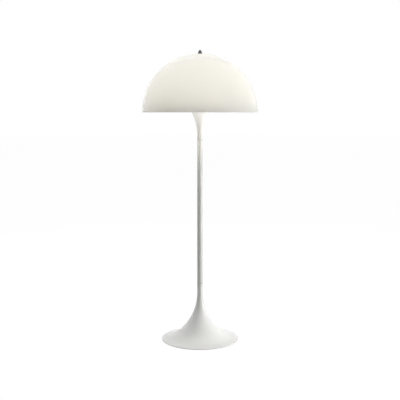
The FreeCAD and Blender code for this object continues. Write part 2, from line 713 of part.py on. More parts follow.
def shade_carrier():
    """Saddle and hub joined by three bent arms that pass round the bulb: the piece that holds the dome up."""
    body = new_body("shade_carrier")
    saddle_middle = "saddle_low + saddle_thick / 2"
    hub_middle = "carrier_hub_low + carrier_hub_thick / 2"
    path = new_sketch(body, "arm_path", "YZ_Plane")
    corners = [
        ("arm_start", saddle_middle),
        ("arm_knee", saddle_middle),
        ("arm_belly", "rim_height + arm_belly_height"),
        ("arm_shoulder", hub_middle),
        ("arm_end", hub_middle),
    ]
    points, arcs = rounded_path(corners, ["arm_knee_bend", "arm_belly_bend", "arm_shoulder_bend"])
    draw(path, points, arcs, closed=False)
    section = new_sketch(body, "arm_section", "XZ_Plane", out="-1 * arm_start")
    draw_circle(section, "arm_radius", ("0", saddle_middle))
    arm = body.newObject("PartDesign::AdditivePipe", "arm_sweep")
    arm.Profile = section
    arm.Spine = (path, [])
    repeat_round(body, arm, ARMS)
    turn_profile(body, "saddle", [
        ("pipe_clear", "saddle_low"), ("saddle_radius", "saddle_low"),
        ("saddle_radius", "saddle_top"), ("pipe_clear", "saddle_top"),
    ])
    body.Tip = turn_profile(body, "carrier_hub", [
        ("stud_radius + thread_gap", "carrier_hub_low"), ("carrier_hub_radius", "carrier_hub_low"),
        ("carrier_hub_radius", "cushion_low"), ("stud_radius + thread_gap", "cushion_low"),
    ])


def shade_stud():
    """The screw through the carrier's hub: hexagon head below, plain shank up into the finial."""
    body = new_body("shade_stud")
    head = new_sketch(body, "stud_head_outline", "XY_Plane", out="carrier_hub_low - stud_head_height")
    draw(head, hexagon_corners("stud_head_flats"))
    padded(body, "stud_head_pad", head, "stud_head_height")
    body.Tip = turn_profile(body, "stud_shank", [
        ("0", "carrier_hub_low - stud_head_height"), ("stud_radius", "carrier_hub_low - stud_head_height"),
        ("stud_radius", "stud_top"), ("0", "stud_top"),
    ])


def shade():
    """The opal dome: half a sphere on a short straight skirt, with a hole for the stud."""
    turned("shade", [
        ("dome_inside", "rim_height"),
        ("shade_radius", "rim_height"),
        ("shade_radius", "dome_centre"),
        ("shade_hole", "dome_centre + sqrt(shade_radius ^ 2 - shade_hole ^ 2)"),
        ("shade_hole", "dome_centre + sqrt(dome_inside ^ 2 - shade_hole ^ 2)"),
        ("dome_inside", "dome_centre"),
    ], {2: ("shade_radius", 1), 4: ("dome_inside", -1)})


def finial():
    """The turned knob, an acorn on its flat foot, bored from below for the stud."""
    def at(height):
        return f"finial_low + {height}"
    bore = "stud_radius + finial_gap"
    crown = "finial_height - finial_shoulder_height"
    turned("finial", [
        (bore, "finial_low"),
        ("finial_foot", "finial_low"),
        ("finial_radius", at("finial_waist")),
        ("finial_shoulder", at("finial_shoulder_height")),
        ("0", at("finial_height")),
        ("0", at("finial_bore_depth")),
        (bore, at("finial_bore_depth")),
    ], {1: ("finial_under", 1), 2: ("finial_side", 1),
        3: (f"(finial_shoulder ^ 2 + ({crown}) ^ 2) / (2 * ({crown}))", 1)})


def head():
    """The reflector, what clamps it, the carrier, the dome and the finial."""
    reflector()
    clamping_cone()
    ring("lamp_pipe", "pipe_bore", "pipe_radius", "pipe_low", "saddle_top + cap_neck_height")
    ring("pipe_washer", "pipe_clear", "pipe_washer_radius", "cone_top", "pipe_nut_low")
    nut("pipe_nut", "pipe_nut_flats", "pipe_radius + thread_gap", "pipe_nut_low", "pipe_nut_height")
    ring("spacer_sleeve", "pipe_clear", "sleeve_radius", "pipe_nut_top", "saddle_low")
    shade_carrier()
    shade_stud()
    ring("shade_cushion", "stud_clear", "cushion_radius", "cushion_low", "cushion_top")
    shade()
    ring("finial_washer", "stud_clear", "finial_washer_radius", "finial_washer_low", "finial_washer_top")
    finial()


# ---- the lampholder ----

def holder_cap():
    """The lampholder's lower shell, a cone with a neck that screws on the lamp pipe."""
    inner = "holder_radius - holder_wall"
    turned("holder_cap", [
        ("pipe_radius + thread_gap", "saddle_top"),
        ("cap_neck", "saddle_top"),
        ("cap_neck", "saddle_top + cap_neck_height"),
        ("holder_radius", "saddle_top + cap_slope_top"),
        ("holder_radius", "skirt_low"),
        (inner, "skirt_low"),
        (inner, "saddle_top + cap_slope_top + holder_wall / 2"),
        ("cap_neck - holder_wall / 2", "saddle_top + cap_neck_height + holder_wall"),
        ("pipe_radius + thread_gap", "saddle_top + cap_neck_height + holder_wall"),
    ])


def holder_core():
    """The porcelain core, with holes for the two terminal screws."""
    body = new_body("holder_core")
    turn_profile(body, "core_blank", [
        ("0", "core_low"), ("core_radius", "core_low"), ("core_radius", "core_top"), ("0", "core_top"),
    ])
    hole = [
        ("0", "core_low"), ("terminal_radius + thread_gap", "core_low"),
        ("terminal_radius + thread_gap", "core_low + terminal_length + thread_gap"),
        ("0", "core_low + terminal_length + thread_gap"),
    ]
    repeat_round(body, turn_profile(body, "terminal_hole", hole, along="terminal_circle", cut=True), TERMINALS)


def centre_contact():
    """The folded leaf spring that the bulb's contact presses on."""
    body = new_body("centre_contact")
    sketch = new_sketch(body, "spring_outline", "XZ_Plane", up="core_top", out="-1 * spring_width / 2")
    pad_under = "spring_height - spring_strip"
    draw(sketch, [
        ("-1 * spring_half", "0"), ("spring_half + 2 * spring_strip", "0"),
        ("spring_half + 2 * spring_strip", "2 * spring_strip"), ("spring_pad", "spring_height"),
        ("-1 * spring_pad", "spring_height"), ("-1 * spring_pad", pad_under),
        ("spring_pad - spring_strip / 2", pad_under), ("spring_half", "2 * spring_strip"),
        ("spring_half", "spring_strip"), ("-1 * spring_half", "spring_strip"),
    ])
    padded(body, "spring_pad_feature", sketch, "spring_width")


def terminal_screws():
    """The two screws under the core that hold the lead's wires."""
    body = new_body("terminal_screws")
    head_low = "core_low - terminal_head_height"
    profile = [
        ("0", head_low), ("terminal_head", head_low), ("terminal_head", "core_low"),
        ("terminal_radius", "core_low"), ("terminal_radius", "core_low + terminal_length"),
        ("0", "core_low + terminal_length"),
    ]
    repeat_round(body, turn_profile(body, "terminal_screw", profile, along="terminal_circle"), TERMINALS)


def lampholder():
    """Cap, skirt, core, screw shell and contacts."""
    holder_cap()
    turned("holder_skirt", [
        ("holder_radius - holder_wall", "skirt_low"), ("holder_radius", "skirt_low"),
        ("holder_mouth", "skirt_top"), ("holder_mouth - holder_wall", "skirt_top"),
    ])
    holder_core()
    ring("screw_shell", "shell_bore", "shell_bore + shell_wall", "core_top", "core_top + shell_height")
    centre_contact()
    terminal_screws()


# ---- the bulb ----

def over_tip(height):
    """A height measured from the underside of the bulb's contact."""
    return f"bulb_low + {height}"


def bulb_glass():
    """The envelope: a ball that runs into the neck through a tangent arc, blown hollow and open at the neck."""
    def junction(radius):
        across = f"{radius} * (bulb_neck + neck_arc) / neck_reach"
        return across, f"ball_centre - {radius} * neck_rise / neck_reach"
    hollow = "(bulb_radius - glass_wall)"
    neck_inside = "bulb_neck - glass_wall"
    turned("bulb_glass", [
        (neck_inside, over_tip("bulb_neck_low")),
        ("bulb_neck", over_tip("bulb_neck_low")),
        ("bulb_neck", "neck_top"),
        junction("bulb_radius"),
        ("0", "ball_centre + bulb_radius"),
        ("0", f"ball_centre + {hollow}"),
        junction(hollow),
        (neck_inside, "neck_top"),
    ], {
        2: ("neck_arc", -1),
        3: ("bulb_radius", 1),
        5: (hollow, -1),
        6: ("(neck_arc + glass_wall)", 1),
    })


def bulb():
    """The bulb that screws into the lampholder: contact, insulator, cap and glass."""
    turned("bulb_tip", [
        ("0", over_tip("0")), ("tip_radius", over_tip("0")),
        ("tip_radius", over_tip("tip_height")), ("0", over_tip("tip_height")),
    ])
    turned("bulb_insulator", [
        ("0", over_tip("tip_height")), ("insulator_low", over_tip("tip_height")),
        ("insulator_radius", over_tip("bulb_cap_low")), ("insulator_radius", over_tip("insulator_height")),
        ("0", over_tip("insulator_height")),
    ])
    inner = "bulb_cap_radius - bulb_cap_wall"
    turned("bulb_cap", [
        ("insulator_radius + bulb_gap", over_tip("bulb_cap_low")),
        ("insulator_radius + bulb_gap + bulb_cap_wall", over_tip("bulb_cap_low")),
        ("bulb_cap_radius", over_tip("bulb_cap_full")),
        ("bulb_cap_radius", over_tip("bulb_cap_top")),
        (inner, over_tip("bulb_cap_top")),
        (inner, over_tip("bulb_cap_full + bulb_cap_wall")),
        ("insulator_radius + bulb_gap", over_tip("bulb_cap_low + bulb_cap_wall")),
    ])
    bulb_glass()


# ---- build, check and write ----

PIECES = [
    "foot_shell", "base_weight", "base_plate", "base_screws", "cord_grommet", "terminal_block", "floor_pad",
    "tie_tube", "tie_nut", "tie_washer",
    "lower_spigot", "stem_tube", "set_screw", "upper_spigot", "inner_lead",
    "reflector", "clamping_cone", "lamp_pipe", "pipe_washer", "pipe_nut", "spacer_sleeve",
    "shade_carrier", "shade_stud", "shade_cushion", "shade", "finial_washer", "finial",
    "holder_cap", "holder_skirt", "holder_core", "screw_shell", "centre_contact", "terminal_screws",
    "bulb_tip", "bulb_insulator", "bulb_cap", "bulb_glass",
]
SOLIDS = {"base_screws": PLATE_SCREWS, "terminal_screws": TERMINALS}


def check_document():
    """Stop if any object of the document failed, or if a sketch is left with a free dimension."""
    for item in doc.Objects:
        if any(state in ("Invalid", "Error") for state in item.State):
            raise RuntimeError(f"{item.Label} failed: {item.State}")
        if item.isDerivedFrom("Sketcher::SketchObject") and not item.FullyConstrained:
            raise RuntimeError(f"{item.Label} has a free dimension")


def checked_shape(label):
    """The shape of a piece, once it is seen to be sound and to have its number of solids."""
    shape = doc.getObjectsByLabel(label)[0].Shape
    if shape.isNull() or not shape.isValid():
        raise RuntimeError(f"{label} has no sound shape")
    if len(shape.Solids) != SOLIDS.get(label, 1):
        raise RuntimeError(f"{label} has {len(shape.Solids)} solids")
    return shape


foot()
stem()
head()
lampholder()
bulb()
doc.recompute()
check_document()
shapes = {label: checked_shape(label) for label in PIECES}
os.makedirs("parts", exist_ok=True)
for label, shape in shapes.items():
    shape.exportStep(f"parts/{label}.step")
print(f"wrote {len(shapes)} pieces, overall height {max(shape.BoundBox.ZMax for shape in shapes.values()):.2f} mm")
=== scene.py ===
"""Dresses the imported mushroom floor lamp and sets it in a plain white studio.

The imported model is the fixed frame.  Each sub-assembly of the lamp is a class: its sizes are fields in
metres, its heights come from the frame, and its methods build the meshes and hang them on the bodies.
A turned piece is drawn as a section and spun, a bent rod is fed and bent, and each finish is a frozen
record of plain numbers that builds its own shader.
"""

from __future__ import annotations

import logging
import math
from collections.abc import Callable, Iterable, Sequence
from dataclasses import dataclass
from enum import Enum

import bmesh
import bpy
from mathutils import Matrix, Vector

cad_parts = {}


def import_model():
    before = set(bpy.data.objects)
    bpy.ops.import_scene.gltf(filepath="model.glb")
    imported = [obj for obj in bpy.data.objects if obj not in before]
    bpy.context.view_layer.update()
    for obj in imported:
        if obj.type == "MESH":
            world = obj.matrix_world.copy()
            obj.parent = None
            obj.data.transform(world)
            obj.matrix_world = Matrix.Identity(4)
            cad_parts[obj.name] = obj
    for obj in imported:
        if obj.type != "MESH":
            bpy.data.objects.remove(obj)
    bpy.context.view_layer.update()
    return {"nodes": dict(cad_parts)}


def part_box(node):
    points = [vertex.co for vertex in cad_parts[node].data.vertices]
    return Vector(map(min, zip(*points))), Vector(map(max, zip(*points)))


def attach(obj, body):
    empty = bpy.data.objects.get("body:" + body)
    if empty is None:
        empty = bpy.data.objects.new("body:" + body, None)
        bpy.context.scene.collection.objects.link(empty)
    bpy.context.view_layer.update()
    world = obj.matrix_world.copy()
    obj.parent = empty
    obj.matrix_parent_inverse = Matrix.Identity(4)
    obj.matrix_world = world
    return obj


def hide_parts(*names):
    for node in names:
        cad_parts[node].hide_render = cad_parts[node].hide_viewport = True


LOG = logging.getLogger("floor_lamp")

MM = 0.001
MERGE = 1e-6
CREASE = math.radians(33.0)     # A steeper edge is shaded as a crease.
SHARP = math.radians(40.0)      # A steeper edge is rounded by ease().
ORIGIN = Vector((0.0, 0.0, 0.0))
UP = Vector((0.0, 0.0, 1.0))
SECTION_NORMAL = Vector((0.0, -1.0, 0.0))   # Angles in a section run from +X towards +Z.

THREAD_ROOT = 0.42              # Half the width of a thread's ridge at its root, in pitches.
THREAD_CREST = 0.12             # Half its width at its crest, in pitches.
THREAD_BITE = 0.05 * MM         # How deep a ridge is rooted in its cylinder.
SHORTEST_THREAD = 4             # Least number of steps along a thread.

Colour = tuple[float, float, float]
Point = tuple[float, float, float]
Mesh = bmesh.types.BMesh
Vert = bmesh.types.BMVert
Edge = bmesh.types.BMEdge


# ---------------------------------------------------------------- meshes

class Section:
    """Draws a section in the XZ plane, point by point, and spins it round or draws it out.

    The tip is the last point drawn.  Straight runs are extruded from it and round stretches are spun
    from it, so that an outline holds only the points that its shape needs.
    """

    def __init__(self, radius: float, height: float, segments: int = 96) -> None:
        """Start the outline.

        Args:
            radius: Distance of the first point from the axis.
            height: Height of the first point.
            segments: Number of steps round the axis, where it is spun.
        """
        self.mesh: Mesh = bmesh.new()
        self.segments = segments
        self.first = self.tip = self.mesh.verts.new((radius, 0.0, height))

    def to(self, radius: float, height: float) -> Section:
        """Draw a straight run to a point.

        Args:
            radius: Distance of its end from the axis.
            height: Height of its end.

        Returns:
            The section, for the next stroke.
        """
        grown = bmesh.ops.extrude_vert_indiv(self.mesh, verts=[self.tip])
        self.tip = grown["verts"][0]
        self.tip.co = (radius, 0.0, height)
        return self

    def arc(self, radius: float, height: float, centre: tuple[float, float], steps: int = 12) -> Section:
        """Draw the shorter arc about a centre to a point.

        Args:
            radius: Distance of its end from the axis.
            height: Height of its end.
            centre: Radius and height of the arc's centre.
            steps: Number of steps along the arc.

        Returns:
            The section, for the next stroke.
        """
        middle = Vector((centre[0], 0.0, centre[1]))
        before = self.tip.co - middle
        after = Vector((radius, 0.0, height)) - middle
        angle = math.atan2(before.x * after.z - before.z * after.x, before.dot(after))
        swept = bmesh.ops.spin(
            self.mesh, geom=[self.tip], cent=middle, axis=SECTION_NORMAL, angle=angle, steps=steps)
        self.tip = picked(swept["geom_last"], Vert)[0]
        self.tip.co = (radius, 0.0, height)
        return self

    def spin(self) -> Mesh:
        """Close the outline and turn it once round the axis.

        Returns:
            The turned mesh, its poles merged and its faces pointing out.
        """
        self.mesh.edges.new((self.tip, self.first))
        outline = [*self.mesh.verts, *self.mesh.edges]
        bmesh.ops.spin(
            self.mesh, geom=outline, cent=ORIGIN, axis=UP, angle=math.tau, steps=self.segments,
            use_merge=True)
        return tidy(self.mesh)

    def draw_out(self, start: float, end: float) -> Mesh:
        """Close the outline, fill it and draw it out along Y.

        Args:
            start: Where the piece starts along Y.
            end: Where it ends along Y.

        Returns:
            The closed mesh.
        """
        self.mesh.edges.new((self.tip, self.first))
        bmesh.ops.contextual_create(self.mesh, geom=list(self.mesh.edges))
        bmesh.ops.translate(self.mesh, verts=self.mesh.verts, vec=(0.0, start, 0.0))
        drawn = bmesh.ops.extrude_face_region(self.mesh, geom=list(self.mesh.faces))["geom"]
        bmesh.ops.translate(self.mesh, verts=picked(drawn, Vert), vec=(0.0, end - start, 0.0))
        return tidy(self.mesh)


def picked(geometry: Iterable[object], kind: type) -> list:
    """The items of one kind, points or edges, among those that an operator gives back."""
    return [item for item in geometry if isinstance(item, kind)]


def stopped(mesh: Mesh) -> Mesh:
    """Fill the open ends of a mesh and return it."""
    bmesh.ops.holes_fill(mesh, edges=[edge for edge in mesh.edges if edge.is_boundary], sides=0)
    return mesh


def bulge_centre(
        before: tuple[float, float], after: tuple[float, float], radius: float) -> tuple[float, float]:
    """Centre of the arc that joins two points of an outline and swells away from the axis.

    Args:
        before: Radius and height of the arc's start.
        after: Radius and height of its end, above the start.
        radius: Radius of the arc.

    Returns:
        Radius and height of its centre.
    """
    start, chord = Vector(before), Vector(after) - Vector(before)
    inward = Vector((-chord.y, chord.x)).normalized()
    centre = start + chord / 2 + inward * math.sqrt(radius ** 2 - chord.length_squared / 4)
    return centre.x, centre.y


def tidy(mesh: Mesh) -> Mesh:
    """Merge doubled points and point the faces outwards.

    Args:
        mesh: A closed mesh, or several in one.

    Returns:
        The same mesh.
    """
    bmesh.ops.remove_doubles(mesh, verts=mesh.verts, dist=MERGE)
    bmesh.ops.recalc_face_normals(mesh, faces=mesh.faces)
    return mesh


def ease(mesh: Mesh, width: float, segments: int = 2, over: float = SHARP,
         where: Callable[[Vector], bool] | None = None) -> Mesh:
    """Round the sharp edges of a mesh.

    Args:
        mesh: The mesh to work on.
        width: How far the rounding reaches from the edge.
        segments: Number of faces across the rounding.
        over: Least angle between two faces, in radians, that counts as sharp.
        where: Picks edges by their middle point, if given.

    Returns:
        The same mesh.
    """
    sharp = [
        edge for edge in mesh.edges
        if len(edge.link_faces) == 2 and edge.calc_face_angle(0.0) > over
        and (where is None or where((edge.verts[0].co + edge.verts[1].co) / 2))
    ]
    bmesh.ops.bevel(
        mesh, geom=sharp, offset=width, offset_type="OFFSET", segments=segments, profile=0.5,
        affect="EDGES", clamp_overlap=True, material=-1)
    return mesh


def join(whole: Mesh, *others: Mesh) -> Mesh:
    """Gather several meshes in the first and free the rest.

    Args:
        whole: The mesh that takes up the others.
        *others: The meshes that it takes up.

    Returns:
        The first mesh, holding all of them.
    """
    for other in others:
        carrier = bpy.data.meshes.new("gathered")
        other.to_mesh(carrier)
        other.free()
        whole.from_mesh(carrier)
        bpy.data.meshes.remove(carrier)
    return whole


def spread_round(mesh: Mesh, count: int, first: float = 0.0) -> Mesh:
    """Repeat a mesh evenly about the stem's axis.

    Args:
        mesh: The mesh, drawn along +X.
        count: Number of copies in all.
        first: Bearing of the first copy, in radians from +X.

    Returns:
        The same mesh, holding all the copies.
    """
    bmesh.ops.rotate(mesh, verts=mesh.verts, cent=ORIGIN, matrix=Matrix.Rotation(first, 3, "Z"))
    drawn = [*mesh.verts, *mesh.edges, *mesh.faces]
    bmesh.ops.spin(
        mesh, geom=drawn, cent=ORIGIN, axis=UP, angle=math.tau * (count - 1) / count,
        steps=count - 1, use_duplicate=True)
    return mesh


def ring(bore: float, radius: float, bottom: float, top: float, segments: int = 64) -> Mesh:
    """A turned ring with square edges, in so many segments round the axis."""
    return Section(bore, bottom, segments).to(radius, bottom).to(radius, top).to(bore, top).spin()


def turned_place(spot: Sequence[float], angle: float, axis: str) -> Matrix:
    """The matrix of a place at a spot, turned about one axis."""
    return Matrix.Translation(spot) @ Matrix.Rotation(angle, 4, axis)


def bar(radius: float, length: float, place: Matrix, sides: int, far: float | None = None) -> Mesh:
    """A straight bar or cone with flat ends, along the Z axis of its place.

    Args:
        radius: Radius at its near end, over the corners.
        length: Length along the axis.
        place: Where its middle is and how it is turned.
        sides: Number of sides.
        far: Radius at its far end, where that differs.

    Returns:
        The bar's mesh.
    """
    mesh = bmesh.new()
    bmesh.ops.create_cone(
        mesh, cap_ends=True, segments=sides, radius1=radius, radius2=radius if far is None else far,
        depth=length, matrix=place)
    return mesh


def hexagon_bar(flats: float, bottom: float, top: float, chamfer: float) -> Mesh:
    """A hexagon bar about the stem's axis, of a width across flats, its ends eased like a bolt head's."""
    place = Matrix.Translation((0.0, 0.0, (bottom + top) / 2))
    return ease(tidy(bar(flats / math.sqrt(3.0), top - bottom, place, 6)), chamfer, segments=1)


def bent_rod(corners: Sequence[Vector], bends: Sequence[float], radius: float, sides: int = 24,
             steps: int = 16) -> Mesh:
    """A round rod, fed straight and bent in the plane of the section, as a rod bender does.

    Args:
        corners: The ends of the rod's centre line and, between them, the corners that it cuts short.
        bends: Bend radius of the centre line at each corner.
        radius: Half the rod's thickness.
        sides: Number of sides round the rod.
        steps: Number of steps along each bend.

    Returns:
        The rod's closed mesh.
    """
    runs = [after - before for before, after in zip(corners, corners[1:])]
    turns = [before.angle(after) for before, after in zip(runs, runs[1:])]
    backs = [0.0, *(bend * math.tan(turn / 2) for bend, turn in zip(bends, turns)), 0.0]
    mesh = bmesh.new()
    level = UP.rotation_difference(runs[0]).to_matrix().to_4x4()
    bmesh.ops.create_circle(
        mesh, radius=radius, segments=sides, matrix=Matrix.Translation(corners[0]) @ level)
    rim = list(mesh.edges)
    for number, run in enumerate(runs):
        heading = run.normalized()
        length = run.length - backs[number] - backs[number + 1]
        grown = bmesh.ops.extrude_edge_only(mesh, edges=rim)["geom"]
        bmesh.ops.translate(mesh, verts=picked(grown, Vert), vec=heading * length)
        rim = [edge for edge in picked(grown, Edge) if edge.is_boundary]
        if number < len(bends):
            begin = corners[number + 1] - heading * backs[number + 1]
            loop = list(dict.fromkeys(vert for edge in rim for vert in edge.verts)) + rim
            swept = bmesh.ops.spin(
                mesh, geom=loop, cent=begin + SECTION_NORMAL.cross(heading) * bends[number],
                axis=SECTION_NORMAL, angle=turns[number], steps=steps)
            rim = picked(swept["geom_last"], Edge)
    return tidy(stopped(mesh))


def thread_ridge(
        radius: float, bottom: float, top: float, pitch: float, depth: float, steps_round: int = 36) -> Mesh:
    """The ridge of a screw thread, wound up a cylinder about the stem's axis.

    Args:
        radius: Radius of the cylinder under the ridge.
        bottom: Height at which the ridge starts.
        top: Height at which it ends.
        pitch: Rise in one turn.
        depth: How far the ridge stands out.
        steps_round: Number of steps in one turn.

    Returns:
        The closed mesh of the ridge.
    """
    mesh = bmesh.new()
    root, crest = radius - THREAD_BITE, radius + depth
    start = bottom + THREAD_ROOT * pitch
    profile = [(root, -THREAD_ROOT), (crest, -THREAD_CREST), (crest, THREAD_CREST), (root, THREAD_ROOT)]
    corners = [mesh.verts.new((across, 0.0, start + share * pitch)) for across, share in profile]
    sides = [mesh.edges.new(pair) for pair in zip(corners, corners[1:] + corners[:1])]
    turns = (top - bottom) / pitch - 2 * THREAD_ROOT
    steps = max(SHORTEST_THREAD, round(turns * steps_round))
    bmesh.ops.spin(
        mesh, geom=corners + sides, cent=ORIGIN, axis=UP, angle=math.tau * turns, steps=steps,
        dvec=(0.0, 0.0, pitch * turns / steps))
    return tidy(stopped(mesh))


def carved(mesh: Mesh, *cutters: Mesh) -> Mesh:
    """Cut other meshes out of a mesh.

    Args:
        mesh: The mesh to cut.
        *cutters: Closed meshes that are taken away from it.

    Returns:
        A new mesh; the given ones are freed.
    """
    base = as_object(mesh, "carved_base")
    tools = [as_object(cutter, "carved_tool") for cutter in cutters]
    for tool in tools:
        modifier = base.modifiers.new("cut", "BOOLEAN")
        modifier.operation = "DIFFERENCE"
        modifier.solver = "EXACT"
        modifier.object = tool
    result = bpy.data.meshes.new_from_object(base.evaluated_get(bpy.context.evaluated_depsgraph_get()))
    whole = bmesh.new()
    whole.from_mesh(result)
    for spent in (base, *tools):
        data = spent.data
        bpy.data.objects.remove(spent)
        bpy.data.meshes.remove(data)
    bpy.data.meshes.remove(result)
    return tidy(whole)


def as_object(mesh: Mesh, name: str) -> bpy.types.Object:
    """Turn a mesh into an object at the origin, smooth but for its creases.

    Args:
        mesh: The mesh, which is freed.
        name: The object's name.

    Returns:
        The new object, linked to the scene.
    """
    for face in mesh.faces:
        face.smooth = True
    for edge in mesh.edges:
        edge.smooth = len(edge.link_faces) == 2 and edge.calc_face_angle(math.pi) < CREASE
    data = bpy.data.meshes.new(name)
    mesh.to_mesh(data)
    mesh.free()
    made = bpy.data.objects.new(name, data)
    bpy.context.scene.collection.objects.link(made)
    return made


# ---------------------------------------------------------------- finishes

Socket = bpy.types.NodeSocket
Inputs = dict[str | int, object]

FLOAT, VECTOR, RGBA = "NodeSocketFloat", "NodeSocketVector", "NodeSocketColor"
WHITE = (1.0, 1.0, 1.0, 1.0)
COLOUR_A, COLOUR_B, COLOUR_OUT = 6, 7, 2    # Sockets of a Mix node that mixes colours.
VALUE_A, VALUE_B = 2, 3                     # Sockets of a Mix node that mixes numbers.

DUST_SCALE = 60.0
DUST_ROUGHNESS = 0.8
SCATTER_SHARES = (1.0, 0.97, 0.93)          # How far red, green and blue go under a surface.


class Wiring:
    """Adds nodes to one node tree and links them, left to right."""

    def __init__(self, tree: bpy.types.NodeTree) -> None:
        """Hold the tree that is wired."""
        self.tree = tree

    @classmethod
    def afresh(cls, owner: bpy.types.Material | bpy.types.World) -> Wiring:
        """Start on the emptied node tree of a material or a world.

        Args:
            owner: The material or the world.

        Returns:
            The wiring of its tree.
        """
        owner.use_nodes = True
        owner.node_tree.nodes.clear()
        return cls(owner.node_tree)

    def add(self, kind: str, inputs: Inputs | None = None, **settings: object) -> bpy.types.Node:
        """Add a node, set its properties and fill or link its inputs.

        Args:
            kind: The node's type name.
            inputs: Values or output sockets, by the name or number of the input; None leaves it alone.
            **settings: Properties of the node.

        Returns:
            The new node.
        """
        node = self.tree.nodes.new(kind)
        for name, value in settings.items():
            setattr(node, name, value)
        for key, value in (inputs or {}).items():
            if isinstance(value, Socket):
                self.tree.links.new(value, node.inputs[key])
            elif value is not None:
                node.inputs[key].default_value = value
        return node

    def maths(self, operation: str, *values: float | Socket) -> Socket:
        """Add a Math node for the operation and return its result."""
        return self.add("ShaderNodeMath", dict(enumerate(values)), operation=operation).outputs[0]

    def mix_colours(self, factor: Socket, first: object, second: object) -> Socket:
        """Mix two colours by a mask, from the first at nought to the second at one."""
        inputs = {"Factor": factor, COLOUR_A: first, COLOUR_B: second}
        return self.add("ShaderNodeMix", inputs, data_type="RGBA").outputs[COLOUR_OUT]

    def direct_view(self) -> Socket:
        """One for camera, glossy and transmission rays, and nought for the rest."""
        rays = self.add("ShaderNodeLightPath").outputs
        first = self.maths("MAXIMUM", rays["Is Camera Ray"], rays["Is Glossy Ray"])
        return self.maths("MAXIMUM", first, rays["Is Transmission Ray"])

    def mix_shaders(self, factor: Socket, first: bpy.types.Node, second: bpy.types.Node) -> bpy.types.Node:
        """Mix two shaders, from the first at nought to the second at one."""
        return self.add("ShaderNodeMixShader", {0: factor, 1: first.outputs[0], 2: second.outputs[0]})


class Effect(Enum):
    """The surface effects that several finishes share, each one shader node group."""

    MOTTLE = "surface_mottle"
    GRAIN = "surface_grain"
    RINGS = "turning_rings"
    DUST = "settled_dust"


class GroupWiring(Wiring):
    """Wires a shared node group from what the group is given, one method for each effect."""

    def __init__(self, tree: bpy.types.NodeTree) -> None:
        """Hold the group's tree and the sockets that carry what it is given."""
        super().__init__(tree)
        self.given = self.add("NodeGroupInput").outputs

    def clouds(self, detail: float, least: float, most: float) -> Socket:
        """Noise of the group's own scale, stretched so that it runs from nought to one.

        Args:
            detail: How many finer layers the noise has.
            least: The noise value that becomes nought.
            most: The noise value that becomes one.

        Returns:
            The stretched value.
        """
        noise = self.add("ShaderNodeTexNoise", {
            "Vector": self.given["Vector"], "Scale": self.given["Scale"], "Detail": detail})
        inputs = {"Value": noise.outputs["Fac"], "From Min": least, "From Max": most}
        return self.add("ShaderNodeMapRange", inputs).outputs["Result"]

    def mottle(self) -> Inputs:
        """Clouds of two near colours, with a roughness that drifts along with them."""
        clouds = self.clouds(detail=4.0, least=0.3, most=0.7)
        colour = self.mix_colours(clouds, self.given["Base"], self.given["Cloud"])
        drift = self.maths("MULTIPLY_ADD", clouds, self.given["Swing"], self.given["Roughness"])
        return {"Color": colour, "Roughness": drift}

    def grain(self) -> Inputs:
        """A fine random height, such as the skin of sprayed lacquer, cast iron or felt."""
        inputs = {name: self.given[name] for name in ("Vector", "Scale", "Detail")}
        return {"Height": self.add("ShaderNodeTexNoise", {**inputs, "Roughness": 0.55}).outputs["Fac"]}

    def rings(self) -> Inputs:
        """Fine rings round the Z axis, as a lathe tool or a drawing die leaves them."""
        spot = self.given["Vector"]
        rise = self.add("ShaderNodeSeparateXYZ", {"Vector": spot}).outputs["Z"]
        across = self.add("ShaderNodeVectorMath", {0: spot, 1: (1.0, 1.0, 0.0)}, operation="MULTIPLY")
        radius = self.add("ShaderNodeVectorMath", {0: across.outputs[0]}, operation="LENGTH")
        path = self.maths("SUBTRACT", radius.outputs["Value"], rise)
        turns = self.maths("DIVIDE", path, self.given["Pitch"])
        jitter = self.add(
            "ShaderNodeTexNoise", {"W": turns, "Scale": 1.0, "Detail": 2.0}, noise_dimensions="1D")
        return {"Height": jitter.outputs["Fac"]}

    def dust(self) -> Inputs:
        """A mask of the thin dust that settles on whatever faces up."""
        normal = self.add("ShaderNodeNewGeometry").outputs["Normal"]
        facing = self.add("ShaderNodeSeparateXYZ", {"Vector": normal}).outputs["Z"]
        level = self.add("ShaderNodeMapRange", {"Value": facing, "From Min": 0.35, "From Max": 1.0})
        patches = self.clouds(detail=6.0, least=0.45, most=0.75)
        both = self.maths("MULTIPLY", level.outputs["Result"], patches)
        return {"Mask": self.maths("MULTIPLY", both, self.given["Amount"])}


@dataclass(frozen=True)
class Recipe:
    """How the node group of an effect is wired, and the types of its sockets by their names."""

    wire: Callable[[GroupWiring], Inputs]
    inputs: dict[str, str]
    outputs: dict[str, str]


RECIPES = {
    Effect.MOTTLE: Recipe(
        GroupWiring.mottle,
        {"Vector": VECTOR, "Scale": FLOAT, "Base": RGBA, "Cloud": RGBA, "Roughness": FLOAT, "Swing": FLOAT},
        {"Color": RGBA, "Roughness": FLOAT}),
    Effect.GRAIN: Recipe(
        GroupWiring.grain, {"Vector": VECTOR, "Scale": FLOAT, "Detail": FLOAT}, {"Height": FLOAT}),
    Effect.RINGS: Recipe(GroupWiring.rings, {"Vector": VECTOR, "Pitch": FLOAT}, {"Height": FLOAT}),
    Effect.DUST: Recipe(
        GroupWiring.dust, {"Vector": VECTOR, "Scale": FLOAT, "Amount": FLOAT}, {"Mask": FLOAT}),
}


